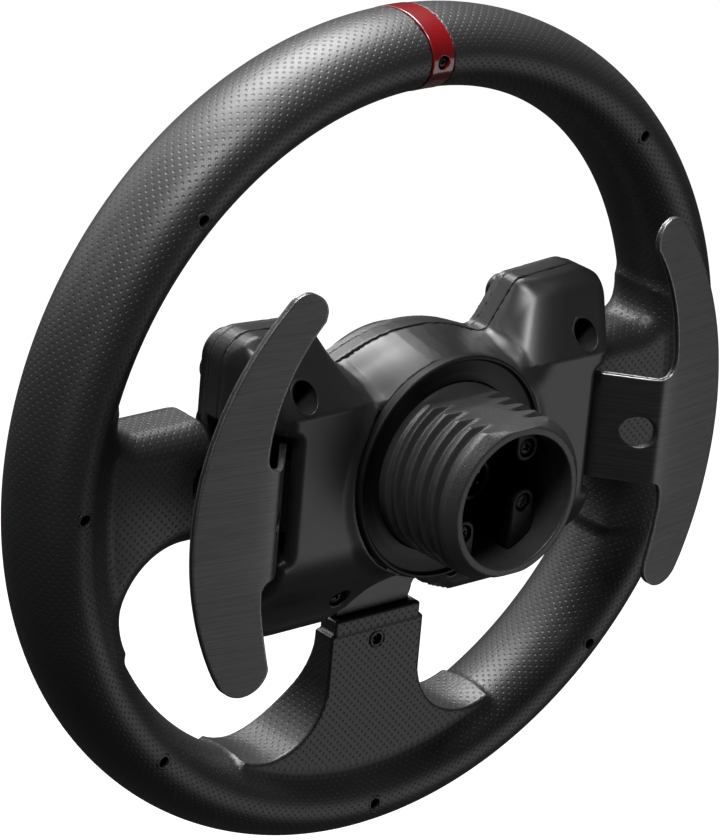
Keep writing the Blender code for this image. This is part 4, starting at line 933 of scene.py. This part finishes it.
def add_screws(head, low, high, shank, end, places, turn_by=0.35):
    """One net for the shape, copied to each (node, x, z) with its cross turned on a little."""
    cell = max(0.16, head * 0.075)
    p, f, n = net(screw_field(head, low, high, shank, end), (-head - 0.4, end - 0.4, -head - 0.4),
                  (head + 0.4, high + 0.4, head + 0.4), cell)
    for i, (node, x, z) in enumerate(places):
        c, s = math.cos(turn_by * (i + 1)), math.sin(turn_by * (i + 1))
        spin = np.array([(c, 0, -s), (0, 1, 0), (s, 0, c)])
        piece(f"{node}_cross", p @ spin + (x, 0, z), f, "screw_steel", normals=n @ spin, hides=(node,))


rim_places = []
for i in range(8):
    angle = math.radians(45 * i)
    rim_places.append(("band_screw" if i == 0 else f"rim_screw_{i}",
                       GRIP_CENTRE * math.sin(angle), GRIP_CENTRE * math.cos(angle)))
ear_places = [("ear_screw_right", EAR_X, EAR_Z), ("ear_screw_left", -EAR_X, EAR_Z)]
chin_places = [("chin_screw_right", CHIN_X, CHIN_Z), ("chin_screw_left", -CHIN_X, CHIN_Z)]
lug_places = [(f"insert_screw_{i + 1}", x, z) for i, (x, z, _) in enumerate(LUGS)]
add_screws(1.7, RIM_WELL_FLOOR, 14.3, 0.93, 8.6, rim_places[1:])
add_screws(1.7, 15.7, 17.9, 0.93, 8.6, rim_places[:1], 0.2)
add_screws(4.0, 18.3, 21.0, 1.8, 8.3, ear_places)
add_screws(3.0, 16.1, 18.0, 1.2, 8.3, chin_places)
add_screws(2.0, 9.2, 10.8, 1.0, 8.3, [("cover_screw", 0.0, COVER_SCREW_Z)])
add_screws(2.6, LUG_FACE - 1.8, LUG_FACE - 0.3, 1.2, LUG_FACE - 5, lug_places)

# %% [markdown]
# ## Well edges
# A net of squares is too coarse for a clean round edge on a small well. Each well gets a thin
# moulded lining instead: a turned ring whose top follows the surface that the well is in.

# %% Well linings
def lining(cx, cz, radius, floor, surface, lip=0.9):
    """A ring from the surface down to the floor; its top rows are lifted to the surface."""
    top = [(radius + lip, -1.2), (radius + lip, 0.0), (radius + lip - 0.05, 0.025), (radius + 0.2, 0.025),
           (radius + 0.12, 0.02), (radius + 0.04, -0.03), (radius, -0.12), (radius, -0.3)]
    depth = float(surface(cx, cz)) - floor
    rows = np.array(top + [(radius, -depth), (radius + 0.3, -depth), (radius + 0.3, -1.3)])
    points, faces = turned(rows, 64, cx, cz, closed=True)
    at_floor = np.repeat(rows[:, 1] < -1.5, 64)
    points[:, 1] += np.where(at_floor, float(surface(cx, cz)), surface(points[:, 0], points[:, 2]))
    return points, faces


def rim_surface(x, z):
    """Height of the rim's back over a point."""
    across = (np.hypot(x, z) - GRIP_CENTRE) / GRIP_A
    return GRIP_B * np.sqrt(1 - across * across)


def ear_surface(x, z):
    """Height of an ear's slope over a point, and a little more."""
    return HOUSING_BACK - EAR_FALL * (z - EAR_FOLD) + 0.02


def chin_surface(x, z):
    """Height of the chin's slope over a point, and a little more."""
    return HOUSING_BACK + CHIN_FALL * (z - CHIN_FOLD) + 0.02


wells = [lining(x, z, RIM_WELL, RIM_WELL_FLOOR, rim_surface) for _, x, z in rim_places[1:]]
wells.append(lining(0.0, COVER_SCREW_Z, RIM_WELL, 9.0, lambda x, z: COVER_BACK + 0 * x))
piece("grip_well_edges", *merge(wells), "grip_rubber")
wells = [lining(x, z, EAR_WELL, EAR_FLOOR + 0.3, ear_surface, 0.7) for _, x, z in ear_places]
wells += [lining(x, z, CHIN_WELL, CHIN_FLOOR + 0.3, chin_surface, 0.8) for _, x, z in chin_places]
piece("hub_well_edges", *merge(wells), "housing_plastic")

# %% [markdown]
# ## The red band
# The band is a thin strip bent round the rim's oval section, slightly proud, with rounded
# edges and a round well behind for its screw. It is the space between two ovals, one inside
# the other, so a field gives it, well and all.

# %% Band
def band_field(x, y, z):
    """Field of the band: between two ovals and two upright planes, less the screw's well."""
    strip = common(oval_field(x, y, z, 0.2), -oval_field(x, y, z, -1.2), 0.15)
    strip = common(strip, np.abs(x) - 4.25, 0.3)
    well = np.maximum(rod(x, z, 0, GRIP_CENTRE, 2.15), -y)
    return without(strip, well, 0.25)


p, f, n = net(band_field, (-5, -19.5, GRIP_CENTRE - 14), (5, 19.5, GRIP_CENTRE + 14), 0.32)
piece("red_band", p, f, "band_red", normals=n, hides=("centre_band",))

# %% [markdown]
# ## The paddles
# A paddle is one strip of metal: a long curved blade, and a tab that folds in towards its
# pivot. The sheet is all points near a bent surface, whose height is the soft minimum of two
# slopes, inside the paddle's outline. Its edges are broken, with a painted highlight: a lighter colour.

# %% Paddle outline
BEND_X, BLADE_BACK, TAB_SLOPE, LEAN = 78.5, 51.0, 1.18, 0.147
PADDLE_SHEET = 2.0
PADDLE_CELL = 0.45


def circle_through(a, b, c, count):
    """Points on the arc through three points."""
    (ax, az), (bx, bz), (cx, cz) = a, b, c
    d = 2 * (ax * (bz - cz) + bx * (cz - az) + cx * (az - bz))
    a2, b2, c2 = ax * ax + az * az, bx * bx + bz * bz, cx * cx + cz * cz
    ux = (a2 * (bz - cz) + b2 * (cz - az) + c2 * (az - bz)) / d
    uz = (a2 * (cx - bx) + b2 * (ax - cx) + c2 * (bx - ax)) / d
    start = math.atan2(az - uz, ax - ux)
    sweep = (math.atan2(cz - uz, cx - ux) - start + math.pi) % (2 * math.pi) - math.pi
    return arc(ux, uz, math.hypot(ax - ux, az - uz), math.degrees(start), math.degrees(start + sweep), count)


def paddle_points():
    """The blade and its tab as seen from behind."""
    tx, tz, tr = 74.6, 68.3, 7.0
    lx, lz, lr = 87.4, -46.2, 9.0
    top, low = math.degrees(math.atan2(tz, tx)), math.degrees(math.atan2(lz, lx))
    points = [(57.5, 18.5), (79.2, 18.5)] + arc(79.2, 23.2, 4.7, 300, 360, 6)
    points += circle_through((tx - tr * 0.93, tz - tr * 0.37), (78.2, 49), (83.9, 27), 16)[::-1]
    points += arc(tx, tz, tr, 180, top, 20) + arc(0, 0, 108, top - 2, low + 2, 40)
    points += arc(lx, lz, lr, low, low - 140, 20)
    points += circle_through((82.8, -26), (81.2, -35), (lx - lr * 0.99, lz - lr * 0.1), 12)[::-1]
    return points + arc(78.6, -21.7, 4.2, 0, 60, 6) + [(78.6, -17.5), (57.5, -17.5)]


PADDLE = paddle_points()


def paddle_sheet(x, y, z):
    """Height above the paddle's bent back face, square to it."""
    tab = BLADE_BACK + TAB_SLOPE * (x - BEND_X)
    blade = BLADE_BACK - LEAN * (x - BEND_X)
    apart, soft = tab - blade, 3.0
    root = np.sqrt(apart * apart + soft * soft)
    folded = 1 - np.clip((np.abs(z) - 21) / 5, 0, 1)
    height = blade + folded * 0.5 * (apart - root)
    slope = -LEAN + folded * 0.5 * (TAB_SLOPE + LEAN) * (1 - apart / root)
    return (y - height) / np.sqrt(1 + slope * slope)


def paddle_field(x, y, z):
    """Field of the right-hand paddle: a bent sheet 2 thick within its outline, with a hole."""
    sheet = slab(paddle_sheet(x, y, z), -PADDLE_SHEET, 0.0)
    body = common(sheet, outline_field(x, z, PADDLE), 0.12)
    hole = (np.hypot((x - 74.6) / 4.2, z / 5.2) - 1) * 4.6
    return without(body, hole, 0.35)


def paddle_edge(x, y, z):
    """Distance to the paddle's outline."""
    return outline_field(x, z, PADDLE) + 0 * y


edges = ((paddle_sheet, paddle_edge, 0.8),
         (lambda x, y, z: paddle_sheet(x, y, z) + PADDLE_SHEET, lambda *at: -paddle_edge(*at), -0.8))
p, f, n = net(paddle_field, (56.5, 22.5, -56), (109.5, 52.5, 76.5), PADDLE_CELL, edges)
for side, body in ((1, "paddle_right"), (-1, "paddle_left")):
    flip = np.array([side, 1, 1])
    shown = piece(f"{body}_blade", p * flip, f, "paddle_metal", body, normals=n * flip, hides=(body,))
    level = np.abs(paddle_sheet(*p.T) + PADDLE_SHEET / 2) - PADDLE_SHEET / 2
    # The edge attribute marks points on the broken edges, where the paddle finish paints a highlight in a
    # lighter colour.
    trim = (np.abs(paddle_edge(*p.T)) < 0.05) & (np.abs(level) < 0.05)
    shown.data.attributes.new("edge", "FLOAT", "POINT").data.foreach_set("value", trim.astype(np.float32))

# %% [markdown]
# ## Paddle fittings
# A soft round stop lies under each paddle, and a small coil spring pushes the tab back. The
# spring is a round wire carried along a helix, with its last turn at each end closed flat.

# %% Stops and springs
stop_profile = soften([(1e-4, 8.3), (8.8, 8.3), (8.8, 11.4), (8.2, 12.0), (7.0, 12.0), (6.6, 11.3),
                       (1e-4, 11.3)], 0.35, 4)
for side, label in ((1, "right"), (-1, "left")):
    p, f = turned(stop_profile, 96, side * STOP_X, 0.0)
    piece(f"stop_pad_{label}", p, f, "gasket", hides=(f"paddle_stop_{label}",))


def coil(radius, wire, low, high, turns, steps, around):
    """A round wire carried along a helix about Y; its ends are closed to a point."""
    s = np.linspace(0, 1, steps)
    rise = low + wire + (high - low - 2 * wire) * (s - np.sin(2 * np.pi * s) / (2 * np.pi))
    t = 2 * np.pi * turns * s
    path = np.stack([radius * np.cos(t), rise, radius * np.sin(t)], 1)
    along = np.gradient(path, axis=0)
    along /= np.linalg.norm(along, axis=1, keepdims=True)
    out = np.stack([np.cos(t), 0 * t, np.sin(t)], 1)
    up = np.cross(along, out)
    a = np.linspace(0, 2 * np.pi, around, endpoint=False)
    thick = wire * np.sqrt(np.clip(1 - (2 * s - 1) ** 40, 1e-4, 1))
    points = path[:, None] + thick[:, None, None] * (out[:, None] * np.cos(a)[None, :, None]
                                                     + up[:, None] * np.sin(a)[None, :, None])
    return points.reshape(-1, 3), grid_faces(steps, around)


spring_low, spring_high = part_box("paddle_spring_right")
low_y, high_y = ((v - SHIFT_Y) / MM for v in (spring_low.y, spring_high.y))
p, f = coil(2.0, 0.38, low_y, high_y, 4.5, 260, 10)
for side, label in ((1, "right"), (-1, "left")):
    q = (p + (56.2, 0, 0)) * (side, 1, 1)
    spring = piece(f"spring_{label}", q, f, "steel", hides=(f"paddle_spring_{label}",))
    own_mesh(spring)

# %% [markdown]
# ## The driver's side
# The front isn't seen from behind, but it is used most. Plain generic controls are placed on
# it: three domed buttons on each ear's gloss trim, a direction pad, a fluted dial, and a cap.

# %% Trim and buttons
EAR_TRIM = rounded([(41, 45, 5), (74.5, 47.5, 8), (74.5, 6.5, 6), (57.5, 6.5, 6), (57.5, 24, 6), (41, 24, 5)])


def trim_field(x, y, z):
    """Field of the right-hand trim, with a hole for each button."""
    body = common(outline_field(x, z, EAR_TRIM), slab(y, 2.2, 4.9), 0.7)
    for cx, cz in BUTTONS:
        body = without(body, rod(x, z, cx, cz, 6.1), 0.3)
    return body


p, f, n = net(trim_field, (40, 1.2, 5.5), (76, 5.8, 49), 0.45)
for side, label in ((1, "right"), (-1, "left")):
    flip = np.array([side, 1, 1])
    piece(f"trim_{label}", p * flip, f, "gloss_black", normals=n * flip, hides=(f"ear_trim_{label}",))

button_profile = soften([(1e-4, 10.7), (3.2, 10.7), (3.2, 3.4), (5.8, 3.4), (5.8, -0.9), (5.0, -1.5),
                         (3.0, -1.6), (1e-4, -1.6)], 0.5, 5)
for side, label in ((1, "right"), (-1, "left")):
    for i, (x, z) in enumerate(BUTTONS):
        p, f = turned(button_profile, 64, side * x, z)
        colour = ("button_white", "button_graphite", "button_black")[i]
        name = f"button_{label}_{i + 1}"
        piece(f"{name}_cap", p, f, colour, name, hides=(name,))

# %% Direction pad and dial
def pad_field(x, y, z):
    """Field of the pad: a cross with a dished middle, on a round stem."""
    u, v = np.abs(x - PAD_X), np.abs(z - PAD_Z)
    arms = join(np.maximum(u - 10.9, v - 3.7), np.maximum(v - 10.9, u - 3.7), 0.8)
    dish = np.hypot(np.hypot(u, v), y + 19.5) - 18.6
    body = without(common(arms, slab(y, -1.5, 3.2), 0.8), dish, 0.5)
    return join(body, np.maximum(np.hypot(u, v) - 2.2, slab(y, 2.0, 11.6)), 0.4)


p, f, n = net(pad_field, (PAD_X - 12, -2.5, PAD_Z - 12), (PAD_X + 12, 12.5, PAD_Z + 12), 0.4)
piece("direction_cross", p, f, "gloss_black", "direction_pad", normals=n, hides=("direction_pad",))


def dial_field(x, y, z):
    """Field of the dial: a fluted cap on a skirt and a stem, with a pointer groove."""
    u, v = x - DIAL_X, z - DIAL_Z
    radius, t = np.hypot(u, v), np.arctan2(u, v)
    flute = 7.9 + 0.22 * np.cos(24 * t) - 0.06 * (4 - y)
    cap = common(radius - flute, slab(y, -9.0, 3.0), 0.9)
    skirt = common(radius - 10.0, slab(y, 1.9, 4.3), 0.5)
    stem = np.maximum(radius - 3.0, slab(y, 4.0, 9.2))
    body = join(np.minimum(cap, stem), skirt, 0.5)
    groove = np.maximum(np.maximum(np.abs(u) - 0.6, slab(v, 2.0, 9.0)), y + 8.2)
    return without(body, groove, 0.15)


p, f, n = net(dial_field, (DIAL_X - 11, -10, DIAL_Z - 11), (DIAL_X + 11, 10, DIAL_Z + 11), 0.4)
piece("dial", p, f, "gloss_black", "selector_dial", normals=n, hides=("selector_dial",))

# %% Centre cover and cap
cover = soften([(36, 4.9), (36, -1), (32, -5), (26.3, -6), (26.3, 4.9)], 1.2, 6, closed=True)
p, f = turned(cover, 192, closed=True)
piece("cover_ring", p, f, "housing_plastic", hides=("centre_cover",))
cap = soften([(1e-4, 4.9), (26, 4.9), (26, -6.4), (23.4, -8.0), (13, -9.0), (1e-4, -9.0)], 1.0, 6)
p, f = turned(cap, 192)
piece("cap", p, f, "gloss_black", hides=("centre_cap",))

# %% [markdown]
# ## Floor, light and camera
# The wheel is shown against plain white. A large soft light stands high above it with a
# smaller one beside it, and weak ones fill in from below, from the side and from the driver's
# side, so that the black forms are read by their highlights.

# %% Studio values
ROOM_LIGHT = 0.05


# %% Scene
def area_light(name, place, target, size, watts, size_y=None):
    """A rectangular lamp at a place, aimed at a target."""
    data = bpy.data.lights.new(name, "AREA")
    data.energy = watts
    data.shape = "RECTANGLE"
    data.size = size
    data.size_y = size_y or size
    lamp = bpy.data.objects.new(name, data)
    lamp.location = place
    lamp.rotation_euler = (Vector(target) - Vector(place)).to_track_quat("-Z", "Y").to_euler()
    bpy.context.scene.collection.objects.link(lamp)


world = bpy.data.worlds.new("studio")
bpy.context.scene.world = world
world.use_nodes = True
sky = world.node_tree
seen = Value(sky, sky.nodes.new("ShaderNodeLightPath").outputs["Is Camera Ray"])
strength = ROOM_LIGHT + (1 - ROOM_LIGHT) * seen
sky.nodes["Background"].inputs["Color"].default_value = (1, 1, 1, 1)
sky.links.new(strength.socket, sky.nodes["Background"].inputs["Strength"])
bpy.context.scene.view_settings.view_transform = "Standard"

AZIMUTH, ELEVATION, ROLL = math.radians(41.35), math.radians(21.73), math.radians(5.06)
TARGET = Vector((5.3 * MM, SHIFT_Y, 3.0 * MM))
DISTANCE = 1.5214
away = Vector((math.sin(AZIMUTH) * math.cos(ELEVATION), math.cos(AZIMUTH) * math.cos(ELEVATION),
               math.sin(ELEVATION)))
camera_data = bpy.data.cameras.new("camera")
camera_data.lens = 204.2
camera_data.sensor_width = 36.0
camera_data.sensor_fit = "AUTO"
camera_data.clip_start = 0.05
camera_data.clip_end = 50
camera = bpy.data.objects.new("camera", camera_data)
camera.location = TARGET + away * DISTANCE
turn = (-away).to_track_quat("-Z", "Y").to_matrix().to_4x4()
camera.matrix_world = Matrix.Translation(camera.location) @ turn @ Matrix.Rotation(ROLL, 4, "Z")
bpy.context.scene.collection.objects.link(camera)
bpy.context.scene.camera = camera

CENTRE = (0, SHIFT_Y, 0)
area_light("key", Vector((-0.10, -0.40, 0.90)) * 1.3, CENTRE, 0.8, 43)
area_light("overhead", Vector((0.40, 0.20, 0.89)) * 1.3, CENTRE, 0.35, 13)
area_light("edge", Vector((0.69, -0.47, 0.55)) * 1.3, CENTRE, 0.3, 1.5)
area_light("fill", Vector((-0.60, 0.68, -0.38)) * 1.7, CENTRE, 1.2, 5.2)
area_light("side", Vector((0.80, 0.25, 0.30)) * 1.5, CENTRE, 0.2, 1.0, 1.2)
area_light("driver", (0.3, -1.7, 0.8), CENTRE, 1.2, 8)

FLOOR_HALF, FLOOR_Z = 30, -1.2
corners = [(x * FLOOR_HALF, y * FLOOR_HALF, FLOOR_Z) for x, y in ((-1, -1), (1, -1), (1, 1), (-1, 1))]
floor_mesh = bpy.data.meshes.new("floor")
floor_mesh.from_pydata(corners, [], [(0, 1, 2, 3)])
floor = bpy.data.objects.new("floor", floor_mesh)
bpy.context.scene.collection.objects.link(floor)
pale, _ = shader("floor_white", (0.9, 0.9, 0.9), 0.9)
pale.inputs["Emission Color"].default_value = (1, 1, 1, 1)
pale.inputs["Emission Strength"].default_value = 1.0
floor_mesh.materials.append(MATERIALS["floor_white"])
floor.visible_diffuse = False
floor.visible_glossy = False

# %% Sizes and finish
print("triangles in new pieces:", sum(COUNTS.values()))
